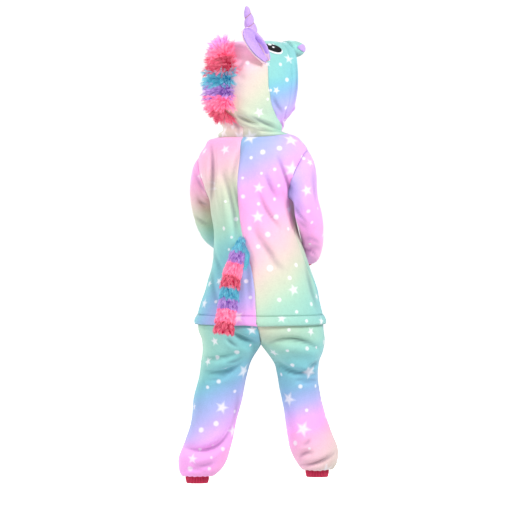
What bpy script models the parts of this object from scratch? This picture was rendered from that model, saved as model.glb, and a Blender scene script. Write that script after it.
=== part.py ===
"""Child's unicorn onesie, worn and standing, with its hood up and no wearer inside.

The garment is a set of cut pieces, each a thin wall: two upper back panels that
end in a drop-seat band, two seat-and-leg panels, two full-length fronts with a
buttoned placket, two sleeves, four rib cuffs and a four-piece hood.  The hood
carries ears, a wound horn, eyes, a muzzle and a striped mane, and a striped tail
hangs from the centre back seam.

Frame: metres, +Z up, origin at the middle of the neck seam, where the garment
hangs from the wearer's shoulders.  The hips face -Y and the wearer's left is +X.
The shoulders turn to the wearer's right, and the head turns further.
"""

import math

import bpy
import numpy as np

# ---------------------------------------------------------------- driving sizes
CLOTH = 0.0024            # thickness of the plush
BAND_CLOTH = 0.0036       # the drop-seat band is turned up double
SEAM_GAP = 0.0003         # left between neighbouring pieces
COLUMNS = 9               # quads from a centre seam to a side seam
ROWS_BETWEEN = 1          # quads between two sections of a table

BODY_TURN = 24.0          # degrees the shoulders turn to the wearer's right
HEAD_TURN = 67.0          # degrees the head turns to the wearer's right
HEAD_BACK = 0.106         # hood, from the middle of the head to the back seam
HEAD_UP = 0.118           # hood, from the middle of the head to the crown seam
HEAD_SIDE = 0.094         # hood, from the crown seam to its widest
HEAD_CENTRE = (0.004, -0.006, 0.124)
HEAD_FORWARD = -0.010     # the middle of the head along the way it faces
BRIM = 0.93               # brim edge, as a share of HEAD_BACK in front of the middle

EAR_LENGTH = 0.098
EAR_WIDTH = 0.047
BUTTON_RADIUS = 0.0080
BUTTON_THICK = 0.0032


def table(columns, *rows):
    """A short table with named columns, as {column: array}."""
    names = columns.split()
    return {name: np.array([row[i] for row in rows]) for i, name in enumerate(names)}


# ------------------------------------------------------------------ body tables
# Horizontal sections of the body above the drop-seat hem, from the neck seam down.
TORSO = table(
    "section      half_width back  front centre_x centre_y turn side_z back_z front_z right_up",
    ("neck_seam",      0.092, 0.069, 0.062, 0.007, -0.002, 1.00, 0.002, 0.000, -0.018, 0.008),
    ("neck_base",      0.115, 0.077, 0.070, 0.009, -0.002, 1.00, -0.005, -0.012, -0.034, 0.009),
    ("shoulder",       0.126, 0.085, 0.077, 0.008, -0.001, 1.00, -0.018, -0.032, -0.053, 0.012),
    ("shoulder_point", 0.1435, 0.092, 0.082, 0.007, 0.000, 1.00, -0.042, -0.057, -0.073, 0.009),
    ("armhole_top",    0.1400, 0.096, 0.086, 0.008, 0.000, 1.00, -0.082, -0.086, -0.096, 0.004),
    ("armhole_low",    0.1240, 0.097, 0.089, 0.010, 0.000, 1.00, -0.121, -0.119, -0.122, 0.001),
    ("underarm",       0.105, 0.096, 0.091, 0.012, 0.000, 1.00, -0.156, -0.154, -0.154, 0),
    ("chest",          0.104, 0.095, 0.094, 0.009, 0.000, 1.00, -0.193, -0.191, -0.191, 0),
    ("waist",          0.104, 0.095, 0.098, 0.002, 0.000, 0.96, -0.236, -0.234, -0.234, 0),
    ("belly",          0.112, 0.099, 0.103, -0.004, 0.000, 0.80, -0.281, -0.279, -0.279, 0),
    ("upper_hip",      0.122, 0.106, 0.109, -0.009, 0.000, 0.55, -0.326, -0.325, -0.325, 0),
    ("hip",            0.137, 0.115, 0.113, -0.011, 0.000, 0.38, -0.372, -0.372, -0.372, 0),
    ("low_hip",        0.1465, 0.120, 0.114, -0.010, 0.000, 0.28, -0.408, -0.409, -0.408, 0),
    ("seat_top",       0.1515, 0.1205, 0.1135, -0.009, 0.000, 0.21, -0.442, -0.444, -0.442, 0),
    ("hem",            0.157, 0.121, 0.114, -0.009, 0.000, 0.15, -0.466, -0.468, -0.466, 0),
)

# Sections between the drop-seat hem and the crotch, where the seat seam curves under.
# seam_: the centre seam; mid_: the fullest point of each cheek; outer_: the side seams.
SEAT = table(
    "section seam_x back_seam_y front_seam_y seam_z mid_x back front mid_z left_x right_x outer_z",
    ("seat",   -0.006, 0.108, -0.104, -0.489, 0.030, 0.117, 0.111, -0.486, 0.147, -0.168, -0.484),
    ("fork",   -0.009, 0.066, -0.064, -0.508, 0.056, 0.106, 0.102, -0.507, 0.139, -0.170, -0.505),
    ("crotch", -0.010, 0.004, 0.004, -0.514, 0.078, 0.094, 0.090, -0.532, 0.136, -0.165, -0.533),
)

LEFT_LEG = table(
    "section   centre_x half_width centre_y back   front  height",
    ("thigh",      0.0775, 0.0625, 0.001, 0.080, 0.076, -0.562),
    ("low_thigh",  0.0845, 0.0600, -0.003, 0.069, 0.068, -0.592),
    ("knee",       0.0910, 0.0600, -0.008, 0.064, 0.063, -0.622),
    ("below_knee", 0.0980, 0.0605, -0.009, 0.061, 0.060, -0.655),
    ("calf",       0.1045, 0.0585, -0.006, 0.059, 0.057, -0.690),
    ("low_calf",   0.1110, 0.0570, -0.002, 0.058, 0.055, -0.723),
    ("overhang",   0.1190, 0.0590, 0.002, 0.060, 0.056, -0.752),
    ("tuck",       0.1270, 0.0610, 0.004, 0.060, 0.057, -0.779),
    ("blouse",     0.1355, 0.0610, 0.006, 0.060, 0.057, -0.804),
    ("gather",     0.1420, 0.0540, 0.008, 0.054, 0.051, -0.828),
    ("turn_under", 0.1470, 0.0430, 0.009, 0.043, 0.041, -0.8425),
    ("rolled_in",  0.1490, 0.0340, 0.009, 0.034, 0.033, -0.8445),
    ("cuff_seam",  0.1500, 0.0285, 0.009, 0.029, 0.028, -0.8380),
)

RIGHT_LEG = table(
    "section   centre_x half_width centre_y back   front  height",
    ("thigh",      -0.0985, 0.0570, -0.001, 0.078, 0.076, -0.561),
    ("low_thigh",  -0.1010, 0.0515, -0.005, 0.067, 0.067, -0.590),
    ("knee",       -0.1045, 0.0495, -0.010, 0.061, 0.061, -0.620),
    ("below_knee", -0.1110, 0.0490, -0.011, 0.057, 0.057, -0.652),
    ("calf",       -0.1185, 0.0505, -0.009, 0.056, 0.055, -0.685),
    ("low_calf",   -0.1255, 0.0535, -0.006, 0.057, 0.055, -0.716),
    ("overhang",   -0.1325, 0.0575, -0.003, 0.059, 0.056, -0.744),
    ("tuck",       -0.1400, 0.0605, -0.001, 0.060, 0.057, -0.770),
    ("blouse",     -0.1465, 0.0575, 0.000, 0.058, 0.055, -0.795),
    ("gather",     -0.1500, 0.0500, 0.001, 0.051, 0.049, -0.815),
    ("turn_under", -0.1505, 0.0410, 0.002, 0.042, 0.040, -0.8275),
    ("rolled_in",  -0.1505, 0.0335, 0.002, 0.034, 0.033, -0.8295),
    ("cuff_seam",  -0.1505, 0.0280, 0.002, 0.029, 0.028, -0.8230),
)

# Rings of the sleeves below the armhole: middles, and half sizes across the arm and
# from its back to its front.
LEFT_SLEEVE = table(
    "section   x       y       z      across  deep",
    ("upper",     0.1300, -0.068, -0.180, 0.0275, 0.046),
    ("upper_arm", 0.1225, -0.080, -0.206, 0.0280, 0.042),
    ("elbow",     0.1120, -0.096, -0.229, 0.0290, 0.039),
    ("forearm",   0.0990, -0.117, -0.244, 0.0300, 0.036),
    ("low_arm",   0.0855, -0.138, -0.254, 0.0310, 0.034),
    ("gather",    0.0745, -0.156, -0.261, 0.0290, 0.031),
    ("cuff_seam", 0.0690, -0.165, -0.265, 0.0210, 0.023),
)

RIGHT_SLEEVE = table(
    "section   x       y      z      across  deep",
    ("upper",     -0.1250, 0.044, -0.180, 0.0285, 0.047),
    ("upper_arm", -0.1330, 0.020, -0.208, 0.0290, 0.043),
    ("elbow",     -0.1385, -0.013, -0.237, 0.0280, 0.041),
    ("forearm",   -0.1400, -0.048, -0.262, 0.0265, 0.039),
    ("low_arm",   -0.1350, -0.078, -0.279, 0.0290, 0.036),
    ("gather",    -0.1320, -0.102, -0.288, 0.0280, 0.032),
    ("cuff_seam", -0.1300, -0.114, -0.292, 0.0210, 0.024),
)

# The largest folds, as soft ridges (height above 0) and troughs (below 0) drawn on
# the back (face 1) or the front (face -1): ends, sideways bow, half width, height.
FOLDS = table(
    "fold              face x0     z0      x1      z1      bow     width  height",
    ("shoulder_blade",    1, -0.052, -0.056, -0.106, -0.222, -0.002, 0.013, -0.0060),
    ("blade_ridge",       1, -0.082, -0.070, -0.112, -0.200, 0.010, 0.014, 0.0050),
    ("mid_back",          1, -0.020, -0.095, -0.062, -0.170, 0.006, 0.013, -0.0035),
    ("small_of_back",     1, -0.002, -0.140, -0.078, -0.262, 0.006, 0.014, -0.0045),
    ("low_back",          1, 0.006, -0.215, -0.062, -0.330, 0.008, 0.018, -0.0035),
    ("left_blade",        1, 0.113, -0.040, 0.104, -0.175, 0.006, 0.011, -0.0045),
    ("left_edge",         1, 0.126, -0.080, 0.096, -0.262, 0.004, 0.010, 0.0050),
    ("left_spine",        1, 0.083, -0.090, 0.046, -0.262, -0.008, 0.014, -0.0060),
    ("left_spine_ridge",  1, 0.100, -0.110, 0.070, -0.280, -0.006, 0.013, 0.0040),
    ("tail_pull",         1, 0.060, -0.255, 0.100, -0.400, -0.010, 0.018, -0.0040),
    ("left_flank",        1, 0.104, -0.270, 0.122, -0.420, -0.006, 0.014, 0.0045),
    ("left_seat_pull",    1, 0.064, -0.480, -0.002, -0.514, 0.004, 0.011, -0.0065),
    ("left_seat_ridge",   1, 0.078, -0.505, 0.020, -0.532, 0.003, 0.011, 0.0040),
    ("left_thigh_back",   1, 0.132, -0.548, 0.052, -0.538, 0.006, 0.010, -0.0045),
    ("left_knee_back",    1, 0.130, -0.580, 0.030, -0.556, 0.014, 0.012, -0.0060),
    ("left_knee_ridge",   1, 0.128, -0.562, 0.034, -0.536, 0.012, 0.013, 0.0045),
    ("left_puff_top",     1, 0.178, -0.794, 0.072, -0.746, 0.028, 0.012, 0.0060),
    ("left_tuck",         1, 0.178, -0.770, 0.066, -0.722, 0.028, 0.009, -0.0085),
    ("right_seat_arch",   1, -0.030, -0.510, -0.156, -0.526, -0.016, 0.010, -0.0060),
    ("right_seat_ridge",  1, -0.036, -0.530, -0.152, -0.544, -0.012, 0.013, 0.0045),
    ("right_thigh_back",  1, -0.050, -0.560, -0.150, -0.586, 0.012, 0.010, -0.0065),
    ("right_knee_back",   1, -0.084, -0.600, -0.152, -0.604, 0.004, 0.009, -0.0050),
    ("right_tuck",        1, -0.110, -0.817, -0.192, -0.786, 0.008, 0.008, -0.0055),
    ("right_blouse_dent", 1, -0.104, -0.799, -0.140, -0.784, -0.005, 0.009, -0.0040),
    ("left_chest",       -1, 0.100, -0.075, 0.040, -0.210, -0.010, 0.014, -0.0045),
    ("right_chest",      -1, -0.092, -0.075, -0.030, -0.200, 0.010, 0.014, -0.0045),
    ("left_belly",       -1, 0.096, -0.255, 0.055, -0.390, 0.012, 0.016, -0.0045),
    ("right_belly",      -1, -0.104, -0.250, -0.066, -0.400, -0.010, 0.016, -0.0045),
    ("left_groin",       -1, 0.130, -0.452, 0.022, -0.520, 0.006, 0.012, -0.0060),
    ("right_groin",      -1, -0.145, -0.455, -0.038, -0.520, -0.006, 0.012, -0.0060),
    ("left_knee",        -1, 0.140, -0.585, 0.040, -0.600, -0.016, 0.011, -0.0055),
    ("right_knee",       -1, -0.152, -0.578, -0.060, -0.602, -0.016, 0.011, -0.0055),
    ("left_shin",        -1, 0.166, -0.752, 0.072, -0.768, -0.018, 0.011, -0.0060),
    ("right_shin",       -1, -0.186, -0.768, -0.094, -0.776, -0.016, 0.011, -0.0055),
)

SLEEVE_FOLDS = table(
    "fold              face x0     z0      x1      z1      bow     width  height",
    ("right_underarm",    1, -0.093, -0.162, -0.128, -0.196, 0.004, 0.009, -0.0050),
    ("right_biceps",      1, -0.158, -0.110, -0.160, -0.190, 0.004, 0.012, -0.0035),
    ("right_elbow",       1, -0.116, -0.286, -0.162, -0.292, -0.010, 0.008, -0.0055),
    ("right_elbow_puff",  1, -0.126, -0.262, -0.166, -0.262, -0.006, 0.012, 0.0035),
    ("left_crook",        1, 0.152, -0.140, 0.118, -0.180, 0.004, 0.009, -0.0040),
    ("left_elbow",        1, 0.158, -0.188, 0.114, -0.206, 0.004, 0.009, -0.0045),
    ("right_crook",      -1, -0.118, -0.215, -0.164, -0.232, 0.006, 0.010, -0.0045),
    ("left_inner_crook", -1, 0.150, -0.175, 0.112, -0.190, 0.006, 0.010, -0.0045),
)

HOOD_FOLDS = table(
    "fold              face x0     z0      x1      z1      bow     width  height",
    ("nape",              1, 0.050, 0.052, -0.052, 0.022, 0.004, 0.008, -0.0055),
    ("nape_ridge",        1, 0.040, 0.066, -0.050, 0.036, 0.006, 0.009, 0.0040),
    ("collar",            1, 0.012, 0.018, -0.058, 0.014, 0.003, 0.006, -0.0035),
    ("behind_ear",        1, 0.052, 0.200, 0.030, 0.120, 0.006, 0.014, -0.0040),
    ("jaw",               1, -0.034, 0.108, -0.060, 0.034, 0.004, 0.009, -0.0045),
    ("far_jaw",          -1, 0.040, 0.100, -0.020, 0.030, 0.006, 0.011, -0.0045),
    ("far_nape",         -1, 0.070, 0.060, 0.010, 0.020, 0.004, 0.010, -0.0040),
)


# ------------------------------------------------------------------ small maths
def along(values, t):
    """values at position t, counted in rows, on a smooth curve through them all."""
    values = np.asarray(values, float)
    t = np.clip(t, 0, len(values) - 1)
    i = min(int(t), len(values) - 2)
    share = t - i
    before, after = max(i - 1, 0), min(i + 2, len(values) - 1)
    slope0 = (values[i + 1] - values[before]) / (i + 1 - before)
    slope1 = (values[after] - values[i]) / (after - i)
    s2, s3 = share * share, share**3
    return (
        (2 * s3 - 3 * s2 + 1) * values[i]
        + (s3 - 2 * s2 + share) * slope0
        + (3 * s2 - 2 * s3) * values[i + 1]
        + (s3 - s2) * slope1
    )


def soft_step(x):
    x = np.clip(x, 0.0, 1.0)
    return x * x * (3 - 2 * x)


def unit(vectors):
    vectors = np.asarray(vectors, float)
    lengths = np.linalg.norm(vectors, axis=-1, keepdims=True)
    return vectors / np.maximum(lengths, 1e-12)


def turned(points, degrees):
    """Points turned about Z, towards the wearer's right for a positive angle."""
    c, s = math.cos(math.radians(degrees)), math.sin(math.radians(degrees))
    x, y, z = np.moveaxis(np.asarray(points, float), -1, 0)
    return np.stack([x * c + y * s, y * c - x * s, z], axis=-1)


def at_shares(points, shares):
    """Points at the given shares of a polyline's length."""
    steps = np.linalg.norm(np.diff(points, axis=0), axis=1)
    travelled = np.concatenate([[0], np.cumsum(steps)])
    wanted = np.asarray(shares) * travelled[-1]
    return np.stack([np.interp(wanted, travelled, points[:, k]) for k in range(3)], axis=1)


# ------------------------------------------------------------- the body's sheets
BODY_SQUARE = 0.88        # below 1 the sections are squarer than ellipses
QUARTER = np.linspace(0, math.pi / 2, 24)
ARMHOLE = (3, 6)          # TORSO rows of the shoulder point and the underarm
ARMHOLE_CUT = 0.24        # share of the quarter section that the armhole takes
CROTCH = len(TORSO["section"]) + 2
BODY_SECTIONS = CROTCH + 1 + len(LEFT_LEG["section"])


def torso_control(i, side, face):
    """Five control points of one quarter section: seam, seam centre, middle, centre, side."""
    depth = TORSO["back"][i] if face > 0 else -TORSO["front"][i]
    seam_z = TORSO["back_z"][i] if face > 0 else TORSO["front_z"][i]
    side_z = TORSO["side_z"][i] + (TORSO["right_up"][i] if side < 0 else 0)
    turn = TORSO["turn"][i] * BODY_TURN
    seam, centre, outer = turned(
        [(0, depth, seam_z), (0, 0, side_z), (side * TORSO["half_width"][i], 0, side_z)], turn
    ) + np.array([TORSO["centre_x"][i], TORSO["centre_y"][i], 0])
    return [seam, seam, seam, centre, outer]


def seat_control(i, side, face):
    seam_y = SEAT["back_seam_y" if face > 0 else "front_seam_y"][i]
    depth = SEAT["back"][i] if face > 0 else -SEAT["front"][i]
    middle_x = SEAT["seam_x"][i] + side * SEAT["mid_x"][i]
    outer_x = SEAT["left_x" if side > 0 else "right_x"][i]
    middle_z, outer_z, seam_z = SEAT["mid_z"][i], SEAT["outer_z"][i], SEAT["seam_z"][i]
    return [
        (SEAT["seam_x"][i], seam_y, seam_z),
        (middle_x, seam_y, seam_z),
        (middle_x, depth, middle_z),
        (middle_x, 0, outer_z),
        (outer_x, 0, outer_z),
    ]


def leg_control(i, side, face):
    leg = LEFT_LEG if side > 0 else RIGHT_LEG
    x, y, z = leg["centre_x"][i], leg["centre_y"][i], leg["height"][i]
    depth = leg["back"][i] if face > 0 else -leg["front"][i]
    reach = side * leg["half_width"][i]
    return [(x - reach, y, z), (x, y, z), (x, y + depth, z), (x, y, z), (x + reach, y, z)]


def body_controls(side, face):
    rows = [torso_control(i, side, face) for i in range(len(TORSO["section"]))]
    rows += [seat_control(i, side, face) for i in range(len(SEAT["section"]))]
    rows += [leg_control(i, side, face) for i in range(len(LEFT_LEG["section"]))]
    return np.array(rows, float)


def quarter_row(control, kept):
    """One row of a quarter of the body, from its centre seam or inseam to its side."""
    seam, seam_centre, middle, centre, outer = control
    c, s = np.cos(QUARTER)[:, None], np.sin(QUARTER)[:, None]
    inner_arc = seam_centre + (seam - seam_centre) * c**BODY_SQUARE
    inner_arc = inner_arc + (middle - seam_centre) * s**BODY_SQUARE
    outer_arc = centre + (middle - centre) * c**BODY_SQUARE + (outer - centre) * s**BODY_SQUARE
    share = np.linspace(0, 1, COLUMNS + 1)
    return at_shares(np.vstack([inner_arc, outer_arc[1:]]), share - (1 - kept) * share**3)


def armhole_kept(t):
    first, last = ARMHOLE
    if not first < t < last:
        return 1.0
    return 1 - ARMHOLE_CUT * math.sqrt(math.sin(math.pi * (t - first) / (last - first)))


def section_positions(first, last, rows=ROWS_BETWEEN):
    """Row positions from one section to another, with extra rows beside the armhole."""
    found = []
    for i in range(first, last):
        parts = rows * (3 if ARMHOLE[0] <= i < ARMHOLE[1] else 1)
        found += [i + k / parts for k in range(parts)]
    return found + [last]


def body_sheet(side, face, positions):
    controls = body_controls(side, face)
    return np.array([quarter_row(along(controls, t), armhole_kept(t)) for t in positions])


# ------------------------------------------------------------------- the sleeves
def armhole_loop(back, front, rows):
    """The armhole's edge, from the shoulder point down the back and up the front."""
    down = [back[r, -1] for r in rows]
    up = [front[r, -1] for r in reversed(rows)]
    return np.array(down + up[1:-1])


CAP_ROWS = 4              # quads from the armhole to the sleeve's first ring


def sleeve_sheet(loop, arm, side):
    """A sleeve from the armhole to its cuff.  The cap runs out sideways from the
    shoulder and bends over into the hanging arm."""
    angles = (np.arange(len(loop)) * 2 * math.pi / len(loop))[:, None]
    centres = np.stack([arm["x"], arm["y"], arm["z"]], axis=1)
    sideways = turned([(side, 0.0, 0.0)], BODY_TURN)[0]
    steps = (len(centres) - 1) * ROWS_BETWEEN
    rings = []
    for k in range(steps + 1):
        t = k / ROWS_BETWEEN
        heading = unit(along(centres, t + 0.5) - along(centres, t - 0.5))
        outward = unit(sideways - heading * np.dot(sideways, heading))
        behind = np.cross(outward, heading) * side
        across, deep = along(arm["across"], t), along(arm["deep"], t)
        rings.append(
            along(centres, t) + np.cos(angles) * across * outward + np.sin(angles) * deep * behind
        )
    heading = unit(centres[1] - centres[0])
    reach = np.linalg.norm(rings[0] - loop, axis=1, keepdims=True)
    upper = (1 + np.cos(angles)) / 2
    leave = unit(sideways * 0.9 + np.array([0, 0, -1.0]) * (0.15 + 0.55 * upper)) * reach * 0.85
    arrive = heading * reach * 1.0
    cap = [loop]
    for k in range(1, CAP_ROWS):
        s = k / CAP_ROWS
        cap.append(
            (2 * s**3 - 3 * s**2 + 1) * loop + (s**3 - 2 * s**2 + s) * leave
            + (3 * s**2 - 2 * s**3) * rings[0] + (s**3 - s**2) * arrive
        )
    return np.array(cap + rings)


# --------------------------------------------------------------------- the hood
HOOD_ROWS = 13
HOOD_COLUMNS = 2 * COLUMNS - 1          # the hood stops one column short of the centre front
FRONT_PANEL_COLUMNS = 7                 # columns of each hood half in its front panel
CORNER_BACK, CORNER_BROW = 0.24, 0.05   # how far the hood's outline is rounded off
BRIM_LEAN = 0.26                        # how far the brim falls back towards the throat
HOOD_SEAM = table(                      # the front panel's seam, from the neck up
    "v u",
    (0.00, 0.94), (0.077, 0.92), (0.154, 0.77), (0.231, 0.63), (0.308, 0.59), (0.385, 0.55),
    (0.48, 0.52), (1.00, 0.52),
)
THROAT_TAKE_IN = (0, 0.25, 0.15, 0.08, 0.04, 0.015)   # share the lowest rows draw in, below the right cheek


def hood_columns(v):
    """Positions from the centre back seam (0) to the brim (1), shifted so that the
    front panel's seam runs from behind the ear to the throat."""
    back = HOOD_COLUMNS - FRONT_PANEL_COLUMNS
    seam = np.interp(v, HOOD_SEAM["v"], HOOD_SEAM["u"])
    rear = np.linspace(0, seam, back + 1)
    fore = np.linspace(seam, 1, FRONT_PANEL_COLUMNS + 1)
    return np.concatenate([rear, fore[1:]])


def head_point(u, v, side):
    """A point of the hood over the head: u runs from the back seam to the brim,
    v from the neck to the crown seam."""
    brim = BRIM * (1 - BRIM_LEAN * (1 - v) ** 2)
    backward = math.cos(math.pi * u) if u < 0.5 else -brim * math.sin(math.pi * (u - 0.5))
    upward = math.sin(math.pi / 2 * (1.9 * v - 0.9))
    corner = CORNER_BACK if backward > 0 else CORNER_BROW
    back = HEAD_BACK * backward * math.sqrt(1 - corner * max(upward, 0) ** 2)
    up = HEAD_UP * upward * math.sqrt(1 - corner * backward**2)
    side_by_back = (
        math.sqrt(max(1 - backward**2.4, 0)) if backward > 0 else 1 - 0.20 * backward**2
    )
    side_by_up = (
        math.sqrt(max(1 - upward**2.6, 0)) if upward > 0 else 1 - 0.20 * upward**2
    )
    sideways = HEAD_SIDE * side_by_back * side_by_up
    return np.array([side * sideways, back, up])


def in_head_frame(points):
    """Head frame (x to the left, y backwards, z up from its middle) to the garment's."""
    placed = np.asarray(points, float) - np.array([0, HEAD_FORWARD, 0])
    return turned(placed, HEAD_TURN) + np.array(HEAD_CENTRE)


def hood_sheet(side, neck_row):
    """Half a hood: rows from the neck seam up to the crown seam, columns from the back
    seam to the brim."""
    rows = [neck_row]
    for r in range(1, HOOD_ROWS + 1):
        v = r / HOOD_ROWS
        head = in_head_frame([head_point(u, v, side) for u in hood_columns(v)])
        grip = 1 - soft_step(v / 0.34)
        lifted = neck_row + np.array([0, 0, 1]) * (head[:, 2:3] - neck_row[:, 2:3])
        row = head * (1 - grip) + lifted * grip
        if r < len(THROAT_TAKE_IN):
            row[:, 0] -= THROAT_TAKE_IN[r] * row[:, 0] * soft_step(-row[:, 0] / 0.05)
        rows.append(row)
    return np.array(rows)


# ----------------------------------------------------------------- cloth walls
def face_normals(grid, wrap=False):
    """Area-weighted normals of a grid's points, by the quads round each."""
    sheet = np.concatenate([grid, grid[:, :1]], axis=1) if wrap else grid
    a, b, c, d = sheet[:-1, :-1], sheet[:-1, 1:], sheet[1:, 1:], sheet[1:, :-1]
    faces = np.cross(c - a, d - b)
    total = np.zeros_like(sheet)
    for rows, cols in ((slice(0, -1), slice(0, -1)), (slice(0, -1), slice(1, None)),
                       (slice(1, None), slice(1, None)), (slice(1, None), slice(0, -1))):
        total[rows, cols] += faces
    if wrap:
        total[:, 0] += total[:, -1]
        total = total[:, :-1]
    return total


def shared_normals(sheets):
    """Outward unit normals for {name: (grid, sign, wrap)}, averaged where sheets meet."""
    raw = {name: sign * face_normals(grid, wrap) for name, (grid, sign, wrap) in sheets.items()}
    places = np.vstack([grid.reshape(-1, 3) for grid, _, _ in sheets.values()])
    values = np.vstack([raw[name].reshape(-1, 3) for name in sheets])
    keys = np.floor((places + 3.7e-7) / 2e-6).astype(np.int64)
    _, index = np.unique(keys, axis=0, return_inverse=True)
    index = index.reshape(-1)
    sums = np.zeros((index.max() + 1, 3))
    np.add.at(sums, index, values)
    normals, at = {}, 0
    for name, (grid, _, _) in sheets.items():
        size = grid.shape[0] * grid.shape[1]
        normals[name] = unit(sums[index[at : at + size]]).reshape(grid.shape)
        at += size
    return normals


def fold_offset(points, normals, folds):
    """How far the folds lift each point along its normal."""
    offset = np.zeros(points.shape[:-1])
    flat = points[..., [0, 2]]
    for i in range(len(folds["fold"])):
        start = np.array([folds["x0"][i], folds["z0"][i]])
        end = np.array([folds["x1"][i], folds["z1"][i]])
        aside = np.array([end[1] - start[1], start[0] - end[0]])
        aside = aside / np.linalg.norm(aside) * folds["bow"][i] * 2
        aside = -aside if start[0] > end[0] else aside
        share = np.linspace(0, 1, 15)[:, None]
        line = start * (1 - share) ** 2 + ((start + end) / 2 + aside) * 2 * share * (1 - share)
        line = line + end * share**2
        gaps = np.linalg.norm(flat[..., None, :] - line, axis=-1)
        nearest = gaps.argmin(axis=-1)
        taper = np.sin(math.pi * (0.06 + 0.88 * nearest / 14)) ** 0.8
        facing = np.clip(normals[..., 1] * folds["face"][i] * 1.8 - 0.1, 0, 1)
        height = folds["height"][i] * np.exp(-((gaps.min(axis=-1) / folds["width"][i]) ** 2))
        offset += height * taper * facing
    return offset


def pulled_in(grid, wrap):
    """The grid with each free edge moved in by half a seam gap."""
    grid = grid.copy()
    half = SEAM_GAP / 2
    grid[0] += half * unit(grid[1] - grid[0])
    grid[-1] += half * unit(grid[-2] - grid[-1])
    if not wrap:
        grid[:, 0] += half * unit(grid[:, 1] - grid[:, 0])
        grid[:, -1] += half * unit(grid[:, -2] - grid[:, -1])
    return grid


parts = bpy.data.collections.new("unicorn_onesie")
MATERIALS = {}


def material(name, colour, roughness=0.9):
    if name not in MATERIALS:
        made = bpy.data.materials.new(name)
        made.use_nodes = True
        shader = made.node_tree.nodes["Principled BSDF"]
        shader.inputs["Base Color"].default_value = (*colour, 1.0)
        shader.inputs["Roughness"].default_value = roughness
        shader.inputs["Metallic"].default_value = 0.0
        MATERIALS[name] = made
    return MATERIALS[name]


def add_node(name, points, faces, finish):
    """A named object of the given mesh, shaded smooth, in the garment's collection."""
    mesh = bpy.data.meshes.new(name)
    mesh.from_pydata([tuple(map(float, p)) for p in points], [], faces)
    mesh.validate()
    mesh.update()
    mesh.shade_smooth()
    mesh.set_sharp_from_angle(angle=math.radians(50))
    made = bpy.data.objects.new(name, mesh)
    mesh.materials.append(finish)
    parts.objects.link(made)
    return made


def wall(name, outer, inner, sign, finish, wrap=False):
    """A closed wall between two grids of the same size, wrapped round if it is a tube."""
    rows, cols = outer.shape[:2]
    across = cols if wrap else cols - 1
    points = np.vstack([outer.reshape(-1, 3), inner.reshape(-1, 3)])
    back = rows * cols

    def at(r, c):
        return r * cols + c % cols

    faces = []
    for r in range(rows - 1):
        for c in range(across):
            faces.append((at(r, c), at(r, c + 1), at(r + 1, c + 1), at(r + 1, c)))
            faces.append(tuple(back + k for k in reversed(faces[-1])))
    edges = [(at(r, c), at(r, c + 1), step) for r, step in ((0, -1), (rows - 1, 1)) for c in range(across)]
    if not wrap:
        edges += [(at(r, c), at(r + 1, c), step) for c, step in ((0, 1), (cols - 1, -1)) for r in range(rows - 1)]
    order = points @ np.array([0.61, 1.37, 0.93])
    for a, b, step in edges:
        # Both pieces of a seam split its twisted strip along the same diagonal.
        if order[a] < order[b]:
            pair = [(a, b, back + b), (a, back + b, back + a)]
        else:
            pair = [(a, b, back + a), (b, back + b, back + a)]
        faces += pair if step > 0 else [corner[::-1] for corner in pair]
    if sign < 0:
        faces = [face[::-1] for face in faces]
    return add_node(name, points, faces, finish)


def cloth(name, grid, normals, sign, finish, thick=CLOTH, wrap=False):
    outer = pulled_in(grid, wrap)
    return wall(name, outer, outer - normals * thick, sign, finish, wrap)


# ------------------------------------------------------------------ the garment
PINK = (0.96, 0.55, 0.82)
PALE = (0.90, 0.86, 0.80)
MINT = (0.50, 0.82, 0.70)
TEAL = (0.35, 0.76, 0.78)
LILAC = (0.66, 0.48, 0.90)
ROSE = (0.80, 0.06, 0.22)
SKY = (0.10, 0.52, 0.76)
VIOLET = (0.45, 0.26, 0.68)
CANDY = (0.95, 0.30, 0.52)

HEM_ROW = len(TORSO["section"]) - 1
BAND_TOP = HEM_ROW - 1                 # section where the band is stitched on
FLARE_FROM = 11                        # section where the back starts to stand away
FLARE = 0.0080                         # how far the band's lower edge stands away
OVERLAP_TOP = HEM_ROW - 1              # section where the seat panel starts, inside


def build_body():
    """The four quarter sheets, the two sleeves and the two hood halves, with shared
    normals and the folds in place."""
    positions = section_positions(0, BODY_SECTIONS - 1)
    quarters = {
        (side, face): body_sheet(side, face, positions) for side in (1, -1) for face in (1, -1)
    }
    arm_rows = [r for r, t in enumerate(positions) if ARMHOLE[0] <= t <= ARMHOLE[1]]
    sheets = {key: (grid, key[0] * key[1], False) for key, grid in quarters.items()}
    for side, arm in ((1, LEFT_SLEEVE), (-1, RIGHT_SLEEVE)):
        loop = armhole_loop(quarters[side, 1], quarters[side, -1], arm_rows)
        sheets["sleeve", side] = (sleeve_sheet(loop, arm, side), -side, True)
        back, front = quarters[side, 1][0], quarters[side, -1][0]
        neck_row = np.vstack([back, front[:0:-1][1:]])
        sheets["hood", side] = (hood_sheet(side, neck_row), -side, False)
    add_cuffs(sheets)
    normals = shared_normals(sheets)
    no_folds = {column: values[:0] for column, values in FOLDS.items()}
    kinds = {"sleeve": SLEEVE_FOLDS, "hood": HOOD_FOLDS, "ankle": no_folds, "wrist": no_folds}
    for key, (grid, sign, wrap) in sheets.items():
        folds = kinds.get(key[0], FOLDS)
        offset = fold_offset(grid, normals[key], folds)
        if key[0] in ("sleeve", "hood"):
            offset[0] = fold_offset(grid[0], normals[key][0], FOLDS)
        sheets[key] = (grid + normals[key] * offset[..., None], sign, wrap)
    return positions, sheets, shared_normals(sheets)


def rows_between(positions, first, last):
    return [r for r, t in enumerate(positions) if first <= t <= last]


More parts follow.
